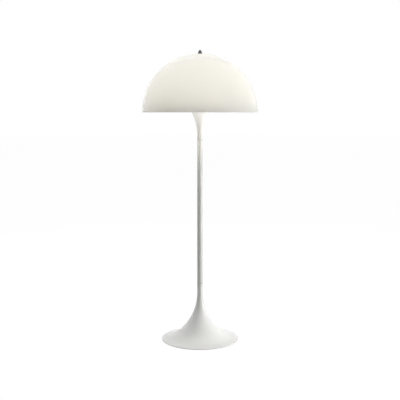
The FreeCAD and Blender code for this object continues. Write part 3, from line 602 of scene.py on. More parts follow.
def effect_group(effect: Effect) -> bpy.types.NodeTree:
    """The node group of an effect, built the first time it is asked for.

    Args:
        effect: Which effect.

    Returns:
        Its shader node group.
    """
    tree = bpy.data.node_groups.get(effect.value)
    if tree is None:
        tree = bpy.data.node_groups.new(effect.value, "ShaderNodeTree")
        recipe = RECIPES[effect]
        for direction, sockets in (("INPUT", recipe.inputs), ("OUTPUT", recipe.outputs)):
            for name, kind in sockets.items():
                tree.interface.new_socket(name=name, in_out=direction, socket_type=kind)
        wiring = GroupWiring(tree)
        wiring.add("NodeGroupOutput", recipe.wire(wiring))
    return tree


@dataclass(frozen=True)
class Finish:
    """A surface finish: plain numbers for the shader, and how strongly each shared effect acts on it.

    Lengths are in metres.  An effect whose strength is zero leaves no node in the material.
    """

    slot: str
    colour: Colour
    cloud: Colour
    roughness: float
    swing: float = 0.04
    cloud_scale: float = 9.0
    metallic: float = 0.0
    ior: float = 1.5
    coat: float = 0.0
    subsurface: float = 0.0
    scatter: float = 0.01
    grain_size: float = 0.001
    grain_depth: float = 0.0
    grain_detail: float = 2.0
    ring_pitch: float = 0.0006
    ring_depth: float = 0.0
    dust: float = 0.0
    dust_colour: Colour = (0.70, 0.69, 0.66)
    sheen: float = 0.0
    glow: float = 0.0
    glow_colour: Colour = (1.0, 0.9, 0.75)

    def material(self) -> bpy.types.Material:
        """The finish's material, built for the first piece and shared by the others."""
        name = self.slot + "_finish"
        return bpy.data.materials.get(name) or self._build(name)

    def _build(self, name: str) -> bpy.types.Material:
        """Make the material.

        Args:
            name: The material's name.

        Returns:
            The new material.
        """
        material = bpy.data.materials.new(name)
        wiring = Wiring.afresh(material)
        spot = wiring.add("ShaderNodeTexCoord").outputs["Object"]
        mottle = self._effect(wiring, Effect.MOTTLE, {
            "Vector": spot, "Scale": self.cloud_scale, "Base": (*self.colour, 1.0),
            "Cloud": (*self.cloud, 1.0), "Roughness": self.roughness, "Swing": self.swing})
        colour, roughness = mottle["Color"], mottle["Roughness"]
        if self.dust > 0.0:
            inputs = {"Vector": spot, "Scale": DUST_SCALE, "Amount": self.dust}
            mask = self._effect(wiring, Effect.DUST, inputs)["Mask"]
            colour = wiring.mix_colours(mask, colour, (*self.dust_colour, 1.0))
            roughness = wiring.add(
                "ShaderNodeMix", {"Factor": mask, VALUE_A: roughness, VALUE_B: DUST_ROUGHNESS}).outputs[0]
        shader = wiring.add("ShaderNodeBsdfPrincipled", {
            "Base Color": colour, "Roughness": roughness, "Metallic": self.metallic, "IOR": self.ior,
            "Coat Weight": self.coat, "Subsurface Weight": self.subsurface,
            "Subsurface Radius": SCATTER_SHARES, "Subsurface Scale": self.scatter,
            "Sheen Weight": self.sheen, "Emission Color": (*self.glow_colour, 1.0),
            "Emission Strength": self.glow, "Normal": self._relief(wiring, spot)})
        wiring.add("ShaderNodeOutputMaterial", {"Surface": shader.outputs["BSDF"]})
        return material

    @staticmethod
    def _effect(wiring: Wiring, effect: Effect, inputs: Inputs) -> Sequence[Socket]:
        """Place a shared effect in the material with this finish's values, and return its outputs."""
        return wiring.add("ShaderNodeGroup", inputs, node_tree=effect_group(effect)).outputs

    def _relief(self, wiring: Wiring, spot: Socket) -> Socket | None:
        """Chain the bumps of the finish.

        Args:
            wiring: The material's wiring.
            spot: The coordinates that the effects read.

        Returns:
            The last bump's normal, or None where the finish has none.
        """
        normal: Socket | None = None
        grain = {"Vector": spot, "Scale": 1.0 / self.grain_size, "Detail": self.grain_detail}
        rings = {"Vector": spot, "Pitch": self.ring_pitch}
        for effect, depth, inputs in (
                (Effect.GRAIN, self.grain_depth, grain), (Effect.RINGS, self.ring_depth, rings)):
            if depth > 0.0:
                height = self._effect(wiring, effect, inputs)["Height"]
                normal = wiring.add("ShaderNodeBump", {
                    "Strength": 1.0, "Distance": depth, "Height": height, "Normal": normal}).outputs["Normal"]
        return normal


LACQUER = Finish(
    "white_lacquer", colour=(0.86, 0.86, 0.845), cloud=(0.84, 0.84, 0.825), roughness=0.20,
    grain_size=0.0022, grain_depth=0.000004, dust=0.10)
OPAL = Finish(
    "opal_acrylic", colour=(0.885, 0.878, 0.832), cloud=(0.868, 0.86, 0.815), roughness=0.12, swing=0.03,
    cloud_scale=5.0, ior=1.49, subsurface=1.0, scatter=0.008)
# Polished metal of the knob and the set screw. Its colour is darkened to stand in for the dark room that a
# polished knob mirrors: painted reflection.
KNOB_METAL_PAINTED_DARK = Finish(
    "polished_metal", colour=(0.17, 0.165, 0.17), cloud=(0.13, 0.125, 0.13), roughness=0.10, swing=0.05,
    cloud_scale=120.0, metallic=1.0, ring_pitch=0.00025, ring_depth=0.000004)
BRIGHT_WIRE = Finish(
    "bright_wire", colour=(0.66, 0.65, 0.63), cloud=(0.58, 0.57, 0.56), roughness=0.20, swing=0.10,
    cloud_scale=60.0, metallic=1.0, grain_size=0.0008, grain_depth=0.000010)
IRON = Finish(
    "cast_iron", colour=(0.085, 0.085, 0.088), cloud=(0.12, 0.10, 0.085), roughness=0.62, swing=0.2,
    cloud_scale=25.0, metallic=0.6, grain_size=0.0022, grain_depth=0.00025, grain_detail=6.0)
ZINC = Finish(
    "zinc_steel", colour=(0.56, 0.57, 0.59), cloud=(0.46, 0.47, 0.50), roughness=0.32, swing=0.14,
    cloud_scale=90.0, metallic=1.0, grain_size=0.0012, grain_depth=0.000012, ring_pitch=0.0004,
    ring_depth=0.000008)
RUBBER = Finish(
    "black_rubber", colour=(0.025, 0.025, 0.026), cloud=(0.035, 0.034, 0.033), roughness=0.68, swing=0.1,
    cloud_scale=150.0, grain_size=0.0005, grain_depth=0.00003)
FELT = Finish(
    "felt", colour=(0.085, 0.085, 0.09), cloud=(0.13, 0.13, 0.135), roughness=0.95, swing=0.0,
    cloud_scale=420.0, grain_size=0.0006, grain_depth=0.0003, grain_detail=8.0, sheen=0.4)
MOULDING = Finish(
    "holder_plastic", colour=(0.80, 0.80, 0.78), cloud=(0.77, 0.77, 0.75), roughness=0.38, swing=0.06,
    cloud_scale=40.0, grain_size=0.0004, grain_depth=0.000015)
TERMINAL = Finish(
    "terminal_plastic", colour=(0.72, 0.70, 0.62), cloud=(0.66, 0.64, 0.57), roughness=0.45, swing=0.08,
    cloud_scale=80.0, grain_size=0.0005, grain_depth=0.00002)
JACKET = Finish(
    "lead_jacket", colour=(0.78, 0.78, 0.75), cloud=(0.72, 0.72, 0.69), roughness=0.42, swing=0.06,
    cloud_scale=70.0, grain_size=0.0009, grain_depth=0.00002)
PORCELAIN = Finish(
    "porcelain", colour=(0.84, 0.82, 0.77), cloud=(0.80, 0.78, 0.73), roughness=0.16, swing=0.08,
    cloud_scale=70.0, coat=0.6, grain_size=0.0012, grain_depth=0.00002)
BRASS = Finish(
    "brass", colour=(0.74, 0.53, 0.22), cloud=(0.62, 0.42, 0.17), roughness=0.26, swing=0.12,
    cloud_scale=130.0, metallic=1.0, ring_pitch=0.0003, ring_depth=0.000006)
ALUMINIUM = Finish(
    "bulb_metal", colour=(0.70, 0.70, 0.71), cloud=(0.60, 0.60, 0.62), roughness=0.28, swing=0.12,
    cloud_scale=140.0, metallic=1.0, ring_pitch=0.0003, ring_depth=0.000006)
BLACK_GLASS = Finish(
    "black_glass", colour=(0.02, 0.02, 0.022), cloud=(0.03, 0.028, 0.03), roughness=0.10, swing=0.05,
    cloud_scale=200.0)
BULB_GLASS = Finish(
    "opal_glass", colour=(0.90, 0.89, 0.86), cloud=(0.87, 0.86, 0.83), roughness=0.22, swing=0.06,
    cloud_scale=45.0, subsurface=0.6, scatter=0.004, glow=4.0, glow_colour=(1.0, 0.98, 0.95))


# ---------------------------------------------------------------- sub-assemblies

def low(node: str) -> float:
    """Height of a node's lowest point."""
    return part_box(node)[0].z


def high(node: str) -> float:
    """Height of a node's highest point."""
    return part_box(node)[1].z


def heights(node: str) -> tuple[float, float]:
    """Heights of a node's lowest and highest points."""
    return low(node), high(node)


@dataclass
class SubAssembly:
    """A group of pieces that are made and dressed together."""

    nodes: dict[str, bpy.types.Object]

    def add(self, name: str, mesh: Mesh, finish: Finish, body: str, node: str) -> None:
        """Make a piece and hang it on the frame.

        Args:
            name: The piece's name.
            mesh: Its mesh, which is freed.
            finish: Its finish.
            body: The body that it rides on.
            node: The node that it takes the place of.
        """
        piece = as_object(mesh, name)
        piece.data.materials.append(finish.material())
        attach(piece, body)
        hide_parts(node)
        LOG.info("%s rides on %s, %d faces", name, body, len(piece.data.polygons))

    def keep(self, finish: Finish, *names: str) -> None:
        """Give nodes of the frame a finish and leave their shapes as they are.

        Args:
            finish: The finish that they get.
            *names: The nodes' names.
        """
        for name in names:
            slots = self.nodes[name].data.materials
            slots.clear()
            slots.append(finish.material())
            LOG.info("%s keeps its shape", name)


@dataclass
class Foot(SubAssembly):
    """The trumpet foot with what is fixed under and inside it."""

    neck: float = 12.5 * MM
    radius: float = 170.0 * MM
    wall: float = 1.5 * MM
    upper_arc: float = 226.0 * MM
    toe_arc: float = 153.0 * MM
    change: float = math.radians(48.9)
    lip_top: float = 4.0 * MM
    arch_half: float = 5.0 * MM
    arch_turn: float = 5.0 * MM
    cord_axis: float = 5.3 * MM
    cord_radius: float = 3.0 * MM
    cord_flare: float = 1.35
    notch_slack: float = 0.15 * MM
    notch_reach: float = 32.0 * MM
    notch_past: float = 10.0 * MM
    pad_bore: float = 116.0 * MM
    pad_radius: float = 138.0 * MM
    screw_circle: float = 98.0 * MM
    screw_head: float = 3.5 * MM
    screw_shank: float = 2.0 * MM
    screw_core: float = 1.72 * MM
    screw_height: float = 0.27 * MM
    screw_pitch: float = 0.7 * MM
    screw_plain: float = 0.8 * MM
    screw_point: float = 0.6 * MM
    screw_taper: float = 0.5 * MM
    screw_count: int = 4
    socket_flats: float = 2.5 * MM
    socket_depth: float = 1.9 * MM

    def build(self) -> None:
        """Make every piece of the foot."""
        self.trumpet()
        self.pad()
        self.screws()
        self.grommet()
        self.keep(ZINC, "base_plate", "tie_tube", "tie_nut", "tie_washer")
        self.keep(IRON, "base_weight")
        self.keep(TERMINAL, "terminal_block")

    def trumpet(self) -> None:
        """The spun shell: straight neck, two tangent arcs and an upright lip."""
        across, rise = math.cos(self.change), math.sin(self.change)
        step = self.upper_arc - self.toe_arc
        toe_across = self.neck + self.upper_arc - step * across
        toe_up = self.lip_top + math.sqrt(self.toe_arc ** 2 - (toe_across - self.radius) ** 2)
        toe = (toe_across, toe_up)
        bell = (self.neck + self.upper_arc, toe_up + step * rise)
        lift, seam = heights("foot_shell")
        inner_toe = self.toe_arc + self.wall
        inner_lip = self.radius - self.wall
        inner_lip_top = toe_up - math.sqrt(inner_toe ** 2 - (toe_across - inner_lip) ** 2)
        shell = (
            Section(self.radius, lift, segments=160)
            .to(self.radius, self.lip_top)
            .arc(toe_across - self.toe_arc * across, toe_up - self.toe_arc * rise, toe, steps=26)
            .arc(self.neck, bell[1], bell, steps=34)
            .to(self.neck, seam)
            .to(self.neck - self.wall, seam)
            .to(self.neck - self.wall, bell[1])
            .arc(toe_across - inner_toe * across, toe_up - inner_toe * rise, bell, steps=30)
            .arc(inner_lip, inner_lip_top, toe, steps=22)
            .to(inner_lip, lift)
            .spin()
        )
        ease(shell, 0.5 * MM, segments=3,
             where=lambda spot: spot.z < 2 * self.lip_top or spot.z > seam - self.wall)
        notch = self.arch(self.notch_slack, self.radius - self.notch_reach, self.radius + self.notch_past)
        self.add("foot_trumpet", carved(shell, notch), LACQUER, "stand", "foot_shell")

    def arch(self, grown: float, start: float, end: float) -> Mesh:
        """The grommet's outline, drawn out along Y.

        Args:
            grown: How much larger than the grommet it is all round.
            start: Where it starts along Y.
            end: Where it ends along Y.

        Returns:
            Its closed mesh.
        """
        half, foot = self.arch_half + grown, low("cord_grommet") - grown
        return (
            Section(half, foot).to(half, self.arch_turn)
            .arc(-half, self.arch_turn, (0.0, self.arch_turn), steps=20).to(-half, foot).draw_out(start, end)
        )

    def grommet(self) -> None:
        """The rubber grommet: an arch with eased edges and a hole for the cord, flared at the back."""
        front, back = (corner.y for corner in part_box("cord_grommet"))
        body = ease(self.arch(0.0, front, back), 0.35 * MM, segments=3)
        through = turned_place((0.0, (front + back) / 2, self.cord_axis), math.pi / 2, "X")
        outside = turned_place((0.0, back, self.cord_axis), -math.pi / 2, "X")
        hole = bar(self.cord_radius, 2.0 * (back - front), through, 40)
        flare = bar(self.cord_radius, 2.0 * MM, outside, 40, self.cord_flare * self.cord_radius)
        self.add("cord_inlet_grommet", carved(body, hole, flare), RUBBER, "stand", "cord_grommet")

    def pad(self) -> None:
        """The felt ring, pressed flat below and a little domed at its edges."""
        felt = ring(self.pad_bore, self.pad_radius, *heights("floor_pad"), segments=180)
        self.add("felt_ring", ease(felt, 0.45 * MM, segments=3), FELT, "stand", "floor_pad")

    def screws(self) -> None:
        """The four countersunk screws with their hexagon sockets; the thread stays within the shank."""
        head_low, top = heights("base_screws")
        shoulder = head_low + (self.screw_head - self.screw_shank)
        point = top - self.screw_point
        blank = (
            Section(0.0, head_low, 40).to(self.screw_head, head_low).to(self.screw_shank, shoulder)
            .to(self.screw_shank, point).to(self.screw_shank - self.screw_taper, top).to(0.0, top).spin()
        )
        socket = hexagon_bar(self.socket_flats, head_low - 1.0 * MM, head_low + self.socket_depth, 0.05 * MM)
        ridge = thread_ridge(
            self.screw_core, shoulder + self.screw_plain, point, self.screw_pitch, self.screw_height, 24)
        screw = join(carved(ease(blank, 0.12 * MM), socket), ridge)
        bmesh.ops.translate(screw, verts=screw.verts, vec=(self.screw_circle, 0.0, 0.0))
        self.add("plate_screws", spread_round(screw, self.screw_count), ZINC, "stand", "base_screws")


@dataclass
class Stem(SubAssembly):
    """The tube with the spigots that join it to the foot and the reflector."""

    radius: float = 12.5 * MM
    wall: float = 1.5 * MM
    spigot_gap: float = 0.05 * MM
    spigot_depth: float = 32.0 * MM
    spigot_thread: float = 26.0 * MM
    ring_height: float = 1.5 * MM
    lead_bore: float = 4.5 * MM
    lower_bore: float = 6.55 * MM
    upper_bore: float = 5.05 * MM
    screw_radius: float = 2.0 * MM
    screw_bearing: float = math.radians(-70.0)
    screw_inset: float = 0.4 * MM
    screw_length: float = 6.0 * MM
    screw_slack: float = 0.05 * MM
    socket_flats: float = 2.0 * MM

    def build(self) -> None:
        """Make every piece of the stem."""
        self.tube()
        self.set_screw()
        self.spigot("lower_spigot_turning", "lower_spigot", threaded_end=-1, bore=self.lower_bore)
        self.spigot("upper_spigot_turning", "upper_spigot", threaded_end=1, bore=self.upper_bore)
        self.keep(JACKET, "inner_lead")

    def outward(self, start: float) -> Matrix:
        """The place of something that points out through the stem at the set screw.

        Args:
            start: Its distance from the axis.

        Returns:
            A matrix whose Z axis points out along the screw.
        """
        height = sum(heights("set_screw")) / 2
        bearing = Matrix.Rotation(self.screw_bearing, 4, "Z")
        return bearing @ turned_place((start, 0.0, height), math.pi / 2, "Y")

    def tube(self) -> None:
        """The drawn tube, its ends eased and its screw hole cut."""
        tube = ring(self.radius - self.wall, self.radius, *heights("stem_tube"))
        hole = bar(self.screw_radius + self.screw_slack, 10.0 * MM, self.outward(self.radius), 32)
        self.add("stem_tube_drawn", carved(ease(tube, 0.25 * MM), hole), LACQUER, "stand", "stem_tube")

    def set_screw(self) -> None:
        """The grub screw with its hexagon socket, dark at its bottom."""
        centre = self.radius - self.screw_inset - self.screw_length / 2
        screw = tidy(bar(self.screw_radius, self.screw_length, Matrix(), 32))
        socket = hexagon_bar(self.socket_flats, 0.0, self.screw_length, 0.02 * MM)
        made = carved(ease(screw, 0.3 * MM, segments=1), socket)
        bmesh.ops.transform(made, matrix=self.outward(centre), verts=made.verts)
        self.add("stem_set_screw", made, KNOB_METAL_PAINTED_DARK, "stand", "set_screw")

    def spigot(self, name: str, node: str, threaded_end: int, bore: float) -> None:
        """A turned plug with the ring that shows between two tubes.

        Args:
            name: The piece's name.
            node: The node that it stands for.
            threaded_end: 1 where the wide bore is at its top, -1 where it is at its bottom.
            bore: Radius of the wide bore.
        """
        bottom, top = heights(node)
        plug = self.radius - self.wall - self.spigot_gap
        seam = bottom + self.spigot_depth
        low_bore, high_bore = (bore, self.lead_bore) if threaded_end < 0 else (self.lead_bore, bore)
        step = bottom + self.spigot_thread if threaded_end < 0 else top - self.spigot_thread
        turned = (
            Section(low_bore, bottom, 64).to(plug, bottom).to(plug, seam).to(self.radius, seam)
            .to(self.radius, seam + self.ring_height).to(plug, seam + self.ring_height).to(plug, top)
            .to(high_bore, top).to(high_bore, step).to(low_bore, step).spin()
        )
        self.add(name, ease(turned, 0.2 * MM), LACQUER, "stand", node)


@dataclass
class Reflector(SubAssembly):
    """The upper trumpet with what clamps it to the stem."""

    neck: float = 12.5 * MM
    wall: float = 1.5 * MM
    arc: float = 226.0 * MM
    sweep: float = math.radians(48.9)
    flare_drop: float = 102.0 * MM

    def build(self) -> None:
        """Make every piece of the reflector."""
        self.bowl()
        self.keep(ZINC, "clamping_cone", "lamp_pipe", "pipe_washer", "pipe_nut", "spacer_sleeve")

    def bowl(self) -> None:
        """The spun neck and bowl, with a rounded lip."""
        bottom, start = low("reflector"), low("shade") - self.flare_drop
        centre = (self.neck + self.arc, start)
        inner = self.arc + self.wall
        across, rise = math.cos(self.sweep), math.sin(self.sweep)
        outer_end = (centre[0] - self.arc * across, start + self.arc * rise)
        inner_end = (centre[0] - inner * across, start + inner * rise)
        middle = ((outer_end[0] + inner_end[0]) / 2, (outer_end[1] + inner_end[1]) / 2)
        bowl = (
            Section(self.neck - self.wall, bottom, 144).to(self.neck, bottom).to(self.neck, start)
            .arc(*outer_end, centre, steps=40).arc(*inner_end, middle, steps=8)
            .arc(self.neck - self.wall, start, centre, steps=36).spin()
        )
        self.add("reflector_bowl", ease(bowl, 0.25 * MM, where=lambda spot: spot.z < start), LACQUER,
                 "stand", "reflector")


@dataclass
class Carrier(SubAssembly):
    """The welded carrier that holds the dome over the bulb, with its stud and its cushion."""

    rod: float = 2.0 * MM
    start: float = 12.0 * MM
    knee: float = 18.5 * MM
    knee_bend: float = 5.0 * MM
    belly: float = 67.0 * MM
    belly_rise: float = 99.0 * MM
    belly_bend: float = 90.0 * MM
    shoulder: float = 21.0 * MM
    shoulder_bend: float = 7.0 * MM
    end: float = 10.0 * MM
    saddle_radius: float = 16.0 * MM
    saddle_thick: float = 2.5 * MM
    saddle_bore: float = 5.1 * MM
    hub_radius: float = 16.0 * MM
    hub_thick: float = 5.0 * MM
    hub_bore: float = 3.05 * MM
    stud: float = 3.0 * MM
    stud_flats: float = 10.0 * MM
    stud_head: float = 4.0 * MM
    stud_pitch: float = 1.0 * MM
    stud_groove: float = 0.35 * MM
    stud_height: float = 0.34 * MM
    bead_radius: float = 0.7 * MM
    cushion: float = 15.0 * MM
    arms: int = 3

    def build(self) -> None:
        """Make the carrier, the stud and the cushion."""
        hub_top = high("shade_carrier")
        hub_low = hub_top - self.hub_thick
        saddle_low = high("spacer_sleeve")
        saddle_middle = saddle_low + self.saddle_thick / 2
        hub_middle = hub_low + self.hub_thick / 2
        arm = self.bent_arm(saddle_middle, hub_middle)
        beads = [
            self.weld_bead(self.saddle_radius, saddle_middle), self.weld_bead(self.hub_radius, hub_middle)]
        arms = spread_round(join(arm, *beads), self.arms, math.pi / 2)
        saddle = self.disc(self.saddle_bore, self.saddle_radius, saddle_low, saddle_low + self.saddle_thick)
        hub = self.disc(self.hub_bore, self.hub_radius, hub_low, hub_top)
        self.add("carrier_frame", join(arms, saddle, hub), BRIGHT_WIRE, "stand", "shade_carrier")
        self.stud_screw()
        self.rubber_cushion()

    def disc(self, bore: float, radius: float, bottom: float, top: float) -> Mesh:
        """A turned disc with a hole and eased edges, from bottom to top."""
        return ease(ring(bore, radius, bottom, top), 0.4 * MM)

    def bent_arm(self, foot: float, head: float) -> Mesh:
        """One arm, bent in the XZ plane from the saddle round the bulb to the hub.

        Args:
            foot: Height of the arm's lower end.
            head: Height of its upper end.

        Returns:
            The arm's mesh.
        """
        corners = [
            Vector((self.start, 0.0, foot)), Vector((self.knee, 0.0, foot)),
            Vector((self.belly, 0.0, low("shade") + self.belly_rise)),
            Vector((self.shoulder, 0.0, head)), Vector((self.end, 0.0, head)),
        ]
        return bent_rod(corners, (self.knee_bend, self.belly_bend, self.shoulder_bend), self.rod)

    def weld_bead(self, reach: float, height: float) -> Mesh:
        """The bead of weld round an arm where it meets the saddle or the hub.

        Args:
            reach: Distance of the bead from the stem's axis.
            height: Height of the arm's centre line there.

        Returns:
            The bead's mesh, round the X axis.
        """
        bead = bmesh.new()
        place = turned_place((reach, 0.0, height + self.rod), math.pi / 2, "X")
        made = bmesh.ops.create_circle(bead, radius=self.bead_radius, segments=10, matrix=place)
        bmesh.ops.spin(
            bead, geom=[*made["verts"], *bead.edges], cent=(reach, 0.0, height), axis=(1.0, 0.0, 0.0),
            angle=math.tau, steps=28, use_merge=True)
        return tidy(bead)

    def stud_screw(self) -> None:
        """The stud: hexagon head under the hub, thread up into the finial."""
        top = high("shade_stud")
        shank_top = high("shade_carrier")
        hub_low = shank_top - self.hub_thick
        head = hexagon_bar(self.stud_flats, hub_low - self.stud_head, hub_low, 0.4 * MM)
        core = self.stud - self.stud_groove
        shank = (
            Section(0.0, hub_low - MM, 40).to(self.stud, hub_low - MM).to(self.stud, shank_top)
            .to(core, shank_top + 0.4 * MM).to(core, top - 0.5 * MM).to(core - 0.5 * MM, top)
            .to(0.0, top).spin()
        )
        ridge = thread_ridge(core, shank_top, top - 0.4 * MM, self.stud_pitch, self.stud_height)
        self.add("carrier_stud", join(head, shank, ridge), ZINC, "stand", "shade_stud")

    def rubber_cushion(self) -> None:
        """The rubber washer that the dome rests on."""
        washer = ring(self.stud + 0.2 * MM, self.cushion, *heights("shade_cushion"))
        self.add("dome_cushion", ease(washer, 0.5 * MM, segments=3), RUBBER, "stand", "shade_cushion")


@dataclass
class Dome(SubAssembly):
    """The opal dome."""

    radius: float = 250.0 * MM
    wall: float = 3.0 * MM
    skirt: float = 1.0 * MM
    hole: float = 4.0 * MM

    def build(self) -> None:
        """Make the dome: half a sphere on a short straight skirt, its rim polished round."""
        rim = low("shade")
        centre = (0.0, rim + self.skirt)
        inner = self.radius - self.wall
        shell = (
            Section(inner, rim, 224).to(self.radius, rim).to(self.radius, centre[1])
            .arc(self.hole, centre[1] + math.sqrt(self.radius ** 2 - self.hole ** 2), centre, steps=72)
            .to(self.hole, centre[1] + math.sqrt(inner ** 2 - self.hole ** 2))
            .arc(inner, centre[1], centre, steps=60)
            .spin()
        )
        self.add("opal_dome", ease(shell, 0.8 * MM, segments=4), OPAL, "shade", "shade")


@dataclass
class Knob(SubAssembly):
    """The turned finial and the washer that is captive under it."""

    bore: float = 3.05 * MM
    foot: float = 7.4 * MM
    radius: float = 9.0 * MM
    waist: float = 2.4 * MM
    under: float = 3.0 * MM
    shoulder: float = 4.4 * MM
    shoulder_height: float = 12.0 * MM
    side: float = 22.0 * MM
    bore_depth: float = 10.8 * MM
    washer: float = 9.2 * MM

    def build(self) -> None:
        """Make the finial and its washer."""
        self.acorn()
        seat = ring(self.bore + 0.15 * MM, self.washer, *heights("finial_washer"), segments=56)
        self.add("finial_seat_washer", ease(seat, 0.3 * MM), KNOB_METAL_PAINTED_DARK, "finial_washer", "finial_washer")

    def acorn(self) -> None:
        """The knob, an acorn on its flat foot, bored from below."""
        base, top = heights("finial")
        widest = (self.radius, base + self.waist)
        shoulder = (self.shoulder, base + self.shoulder_height)
        crown = top - shoulder[1]
        sweep = (self.shoulder ** 2 + crown ** 2) / (2 * crown)
        turned = (
            Section(self.bore, base, 96).to(self.foot, base)
            .arc(*widest, bulge_centre((self.foot, base), widest, self.under), steps=10)
            .arc(*shoulder, bulge_centre(widest, shoulder, self.side), steps=16)
            .arc(0.0, top, (0.0, top - sweep), steps=14)
            .to(0.0, base + self.bore_depth).to(self.bore, base + self.bore_depth).spin()
        )
        mouth = base + 0.5 * self.waist
        ease(turned, 0.35 * MM, segments=3, where=lambda spot: spot.z < mouth)
        self.add("finial_turning", turned, KNOB_METAL_PAINTED_DARK, "finial", "finial")


@dataclass
class Lampholder(SubAssembly):
    """The lampholder: cap, ribbed skirt, core, screw shell and contacts."""

    radius: float = 19.5 * MM
    mouth: float = 18.4 * MM
    wall: float = 2.0 * MM
    neck: float = 9.0 * MM
    neck_height: float = 4.0 * MM
    slope_top: float = 14.0 * MM
    pipe_bore: float = 5.05 * MM
    ribs: int = 36
    rib_height: float = 0.7 * MM
    rib_width: float = 1.1 * MM
    rib_inset: float = 0.45 * MM
    rib_start: float = 1.5 * MM
    shell_bore: float = 13.35 * MM
    shell_wall: float = 0.4 * MM
    thread_pitch: float = 3.63 * MM
    thread_height: float = 0.3 * MM
    thread_inset: float = 2.0 * MM

    def build(self) -> None:
        """Make every piece of the lampholder."""
        self.cap()
        self.skirt()
        self.screw_shell()
        self.keep(PORCELAIN, "holder_core")
        self.keep(BRASS, "centre_contact")
        self.keep(ZINC, "terminal_screws")

    def cap(self) -> None:
        """The lower shell with its neck."""
        base, top = heights("holder_cap")
        inner = self.radius - self.wall
        shell = (
            Section(self.pipe_bore, base, 72).to(self.neck, base).to(self.neck, base + self.neck_height)
            .to(self.radius, base + self.slope_top).to(self.radius, top).to(inner, top)
            .to(inner, base + self.slope_top + self.wall / 2)
            .to(self.neck - self.wall / 2, base + self.neck_height + self.wall)
            .to(self.pipe_bore, base + self.neck_height + self.wall).spin()
        )
        self.add("holder_cap_moulding", ease(shell, 0.5 * MM, segments=3, over=math.radians(25.0)), MOULDING,
                 "stand", "holder_cap")

    def skirt(self) -> None:
        """The upper shell, tapered to its mouth, with grip ribs round its lower half."""
        base, top = heights("holder_skirt")
        shell = (
            Section(self.radius - self.wall, base, 72).to(self.radius, base).to(self.mouth, top)
            .to(self.mouth - self.wall, top).spin()
        )
        length = 0.5 * (top - base)
        place = Matrix.Translation((self.radius - self.rib_inset, 0.0, base + self.rib_start + length / 2))
        rib = bmesh.new()
        bmesh.ops.create_cube(
            rib, size=1.0, matrix=place @ Matrix.Diagonal((self.rib_height, self.rib_width, length, 1.0)))
        ribs = spread_round(ease(rib, 0.22 * MM), self.ribs)
        moulding = join(ease(shell, 0.5 * MM, segments=3), ribs)
        self.add("holder_skirt_moulding", moulding, MOULDING, "stand", "holder_skirt")

    def screw_shell(self) -> None:
        """The brass shell, with the ridge of its thread round the outside."""
        base, top = heights("screw_shell")
        outer = self.shell_bore + self.shell_wall
        shell = ring(self.shell_bore, outer, base, top)
        ridge = thread_ridge(
            outer, base + self.thread_inset, top - self.thread_inset, self.thread_pitch, self.thread_height)
        self.add("holder_screw_shell", join(shell, ridge), BRASS, "stand", "screw_shell")


@dataclass
class Bulb(SubAssembly):
    """The bulb: opal envelope, threaded cap, insulator and contact."""

    ball: float = 30.0 * MM
    neck: float = 12.5 * MM
    neck_top: float = 30.0 * MM
    glass: float = 1.0 * MM
    cap_radius: float = 13.15 * MM
    cap_wall: float = 0.4 * MM
    cap_full: float = 3.1 * MM
    insulator: float = 10.65 * MM
    tip: float = 4.5 * MM
    thread_pitch: float = 3.63 * MM
    thread_groove: float = 0.55 * MM
    thread_height: float = 0.53 * MM
    thread_end: float = 1.4 * MM
    rim_foot: float = 1.2 * MM
    rim_full: float = 0.8 * MM
    rim_inside: float = 1.6 * MM

    def build(self) -> None:
        """Make every piece of the bulb."""
        self.envelope()
        self.cap()
        self.contact()
        self.keep(BLACK_GLASS, "bulb_insulator")

    def envelope(self) -> None:
        """The blown glass: a ball that runs into the neck through a tangent arc."""
        bottom, top = heights("bulb_glass")
        centre = top - self.ball
        neck_top = low("bulb_tip") + self.neck_top
        rise = centre - neck_top
        blend = (self.neck ** 2 + rise ** 2 - self.ball ** 2) / (2 * (self.ball - self.neck))
        reach = blend + self.ball

        def junction(radius: float) -> tuple[float, float]:
            """Where a wall of the given ball radius meets the blend."""
            return radius * (self.neck + blend) / reach, centre - radius * rise / reach

        inner = self.ball - self.glass
        middle, hip = (0.0, centre), (self.neck + blend, neck_top)
        glass = (
            Section(self.neck - self.glass, bottom, 96).to(self.neck, bottom).to(self.neck, neck_top)
            .arc(*junction(self.ball), hip, steps=14).arc(0.0, top, middle, steps=36)
            .to(0.0, top - self.glass).arc(*junction(inner), middle, steps=30)
            .arc(self.neck - self.glass, neck_top, hip).spin()
        )
        self.add("bulb_envelope", glass, BULB_GLASS, "bulb", "bulb_glass")

    def cap(self) -> None:
        """The drawn cap with its screw thread."""
        base, top = heights("bulb_cap")
        shoulder = base + self.cap_full
        inner = self.cap_radius - self.cap_wall
        core = self.cap_radius - self.thread_groove
        shell = (
            Section(self.insulator, base, 72).to(self.insulator + self.cap_wall, base).to(core, shoulder)
            .to(core, top - self.rim_foot).to(self.cap_radius, top - self.rim_full)
            .to(self.cap_radius, top).to(inner, top).to(core - self.cap_wall, top - self.rim_inside)
            .to(core - self.cap_wall, shoulder + self.cap_wall)
            .to(self.insulator, base + self.cap_wall).spin()
        )
        ridge = thread_ridge(
            core, shoulder, top - self.thread_end, self.thread_pitch, self.thread_height, steps_round=48)
        self.add("bulb_screw_cap", join(shell, ridge), ALUMINIUM, "bulb", "bulb_cap")

    def contact(self) -> None:
        """The domed contact."""
        base, top = heights("bulb_tip")
        sweep = (self.tip ** 2 + (top - base) ** 2) / (2 * (top - base))
        dome = Section(0.0, base, 48).arc(self.tip, top, (0.0, base + sweep), steps=10).to(0.0, top).spin()
        self.add("bulb_contact", dome, BRASS, "bulb", "bulb_tip")


# ---------------------------------------------------------------- studio

class Panel(Enum):
    """The outline of a studio lamp's panel."""

    SHEET = "RECTANGLE"
    DISC = "DISK"


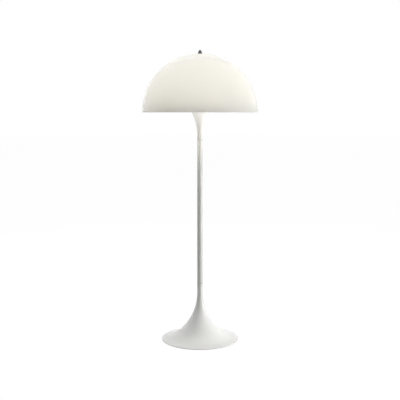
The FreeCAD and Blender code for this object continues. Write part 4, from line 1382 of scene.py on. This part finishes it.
@dataclass
class Softbox:
    """A flat studio lamp, aimed at a point."""

    name: str
    place: Point
    aim: Point
    size: tuple[float, float]
    power: float
    colour: Colour = (1.0, 1.0, 1.0)
    mirrored: bool = False
    shape: Panel = Panel.SHEET
    spread: float = math.pi

    def hang(self) -> None:
        """Hang the lamp in the studio."""
        data = bpy.data.lights.new(self.name, "AREA")
        data.shape = self.shape.value
        data.size, data.size_y = self.size
        data.energy = self.power
        data.spread = self.spread
        data.color = self.colour
        lamp = bpy.data.objects.new(self.name, data)
        lamp.location = self.place
        lamp.rotation_euler = (Vector(self.aim) - Vector(self.place)).to_track_quat("-Z", "Y").to_euler()
        lamp.visible_camera = False
        lamp.visible_glossy = self.mirrored
        bpy.context.scene.collection.objects.link(lamp)


WARM: Colour = (1.0, 0.98, 0.94)

ROOM_LAMPS = (
    Softbox("overhead", (0.1, 0.2, 3.6), (0.1, 0.2, 0.0), (4.6, 4.6), 77.0),
    Softbox("right_bank", (1.75, 1.2, 1.75), (0.85, 1.2, 1.314), (2.4, 3.44), 10.0, WARM, mirrored=True),
    Softbox("right_strip", (1.1, -0.25, 0.43), (0.0, 0.0, 0.43), (0.5, 0.86), 2.7, mirrored=True,
            spread=math.radians(100.0)),
    Softbox("left_back", (-2.3, 1.8, 1.1), (0.0, 0.0, 0.8), (2.2, 2.2), 24.0),
    Softbox("back_top", (0.3, 2.4, 2.6), (0.0, 0.0, 0.2), (3.6, 2.0), 6.0),
    Softbox("front_low", (0.25, -0.9, 0.75), (0.0, 0.0, 0.0), (0.8, 0.8), 1.25),
)
# These hang round the stem under the dome, in place of the light that a lit bulb throws on its dome and foot.
DOME_LAMPS = (
    Softbox("dome_fill", (0.0, 0.0, 1.009), (0.0, 0.0, 2.0), (0.38, 0.38), 1.45, (1.0, 0.99, 0.965),
            shape=Panel.DISC),
    Softbox("foot_wash", (0.0, 0.0, 0.93), (0.0, 0.0, 0.0), (0.30, 0.30), 0.06, shape=Panel.DISC,
            spread=math.radians(30.0)),
    Softbox("dome_wash", (0.0, 0.0, 1.004), (0.0, 0.0, 0.0), (0.20, 0.20), 0.1, WARM, shape=Panel.DISC),
)


@dataclass
class Studio:
    """Camera, lamps, white surround and floor, none of it part of the lamp."""

    distance: float = 3.30
    tilt: float = math.radians(6.6)
    focal: float = 757.0
    frame_width: float = 400.0
    sensor: float = 36.0
    floor_reach: float = 30.0
    floor_grey: float = 0.57
    floor_white: float = 1.06
    floor_glow: float = 0.93
    lamps: tuple[Softbox, ...] = ROOM_LAMPS + DOME_LAMPS

    def build(self) -> None:
        """Set the whole studio up."""
        bpy.context.scene.view_settings.view_transform = "Standard"
        self.camera()
        self.surround()
        self.floor()
        for lamp in self.lamps:
            lamp.hang()

    def camera(self) -> None:
        """Stand the camera level with the dome's rim, tilted down as in the photograph."""
        data = bpy.data.cameras.new("camera")
        data.sensor_width = self.sensor
        data.lens = self.focal * self.sensor / self.frame_width
        camera = bpy.data.objects.new("camera", data)
        camera.location = (0.0, -self.distance, low("shade"))
        camera.rotation_euler = (math.pi / 2 - self.tilt, 0.0, 0.0)
        bpy.context.scene.collection.objects.link(camera)
        bpy.context.scene.camera = camera

    def surround(self) -> None:
        """White to the camera, to mirrors and through glass, and dark to everything else."""
        world = bpy.data.worlds.new("white_surround")
        bpy.context.scene.world = world
        wiring = Wiring.afresh(world)
        seen = wiring.add("ShaderNodeBackground", {"Color": WHITE, "Strength": 1.0})
        lit = wiring.add("ShaderNodeBackground", {"Color": WHITE, "Strength": 0.0})
        mixed = wiring.mix_shaders(wiring.direct_view(), lit, seen)
        wiring.add("ShaderNodeOutputWorld", {"Surface": mixed.outputs[0]})

    def floor(self) -> None:
        """A white floor, clear from below, that keeps a faint shadow and throws light back up."""
        mesh = bmesh.new()
        bmesh.ops.create_grid(mesh, x_segments=1, y_segments=1, size=self.floor_reach)
        ground = as_object(mesh, "floor")
        material = bpy.data.materials.new("white_floor")
        wiring = Wiring.afresh(material)
        matt = wiring.add("ShaderNodeBsdfDiffuse", {"Color": (*[self.floor_grey] * 3, 1.0)})
        glow = wiring.add("ShaderNodeEmission", {"Color": WHITE, "Strength": self.floor_white})
        share = wiring.maths("MULTIPLY", wiring.direct_view(), self.floor_glow)
        above = wiring.mix_shaders(share, matt, glow)
        below = wiring.add("ShaderNodeNewGeometry").outputs["Backfacing"]
        sided = wiring.mix_shaders(below, above, wiring.add("ShaderNodeBsdfTransparent"))
        wiring.add("ShaderNodeOutputMaterial", {"Surface": sided.outputs[0]})
        ground.data.materials.append(material)


def main() -> None:
    """Load the frame and build the lamp and the studio."""
    logging.basicConfig(level=logging.INFO, format="%(name)s: %(message)s")
    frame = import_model()
    for kind in (Foot, Stem, Reflector, Carrier, Dome, Knob, Lampholder, Bulb):
        kind(frame["nodes"]).build()
    Studio().build()


if __name__ == "__main__":
    main()
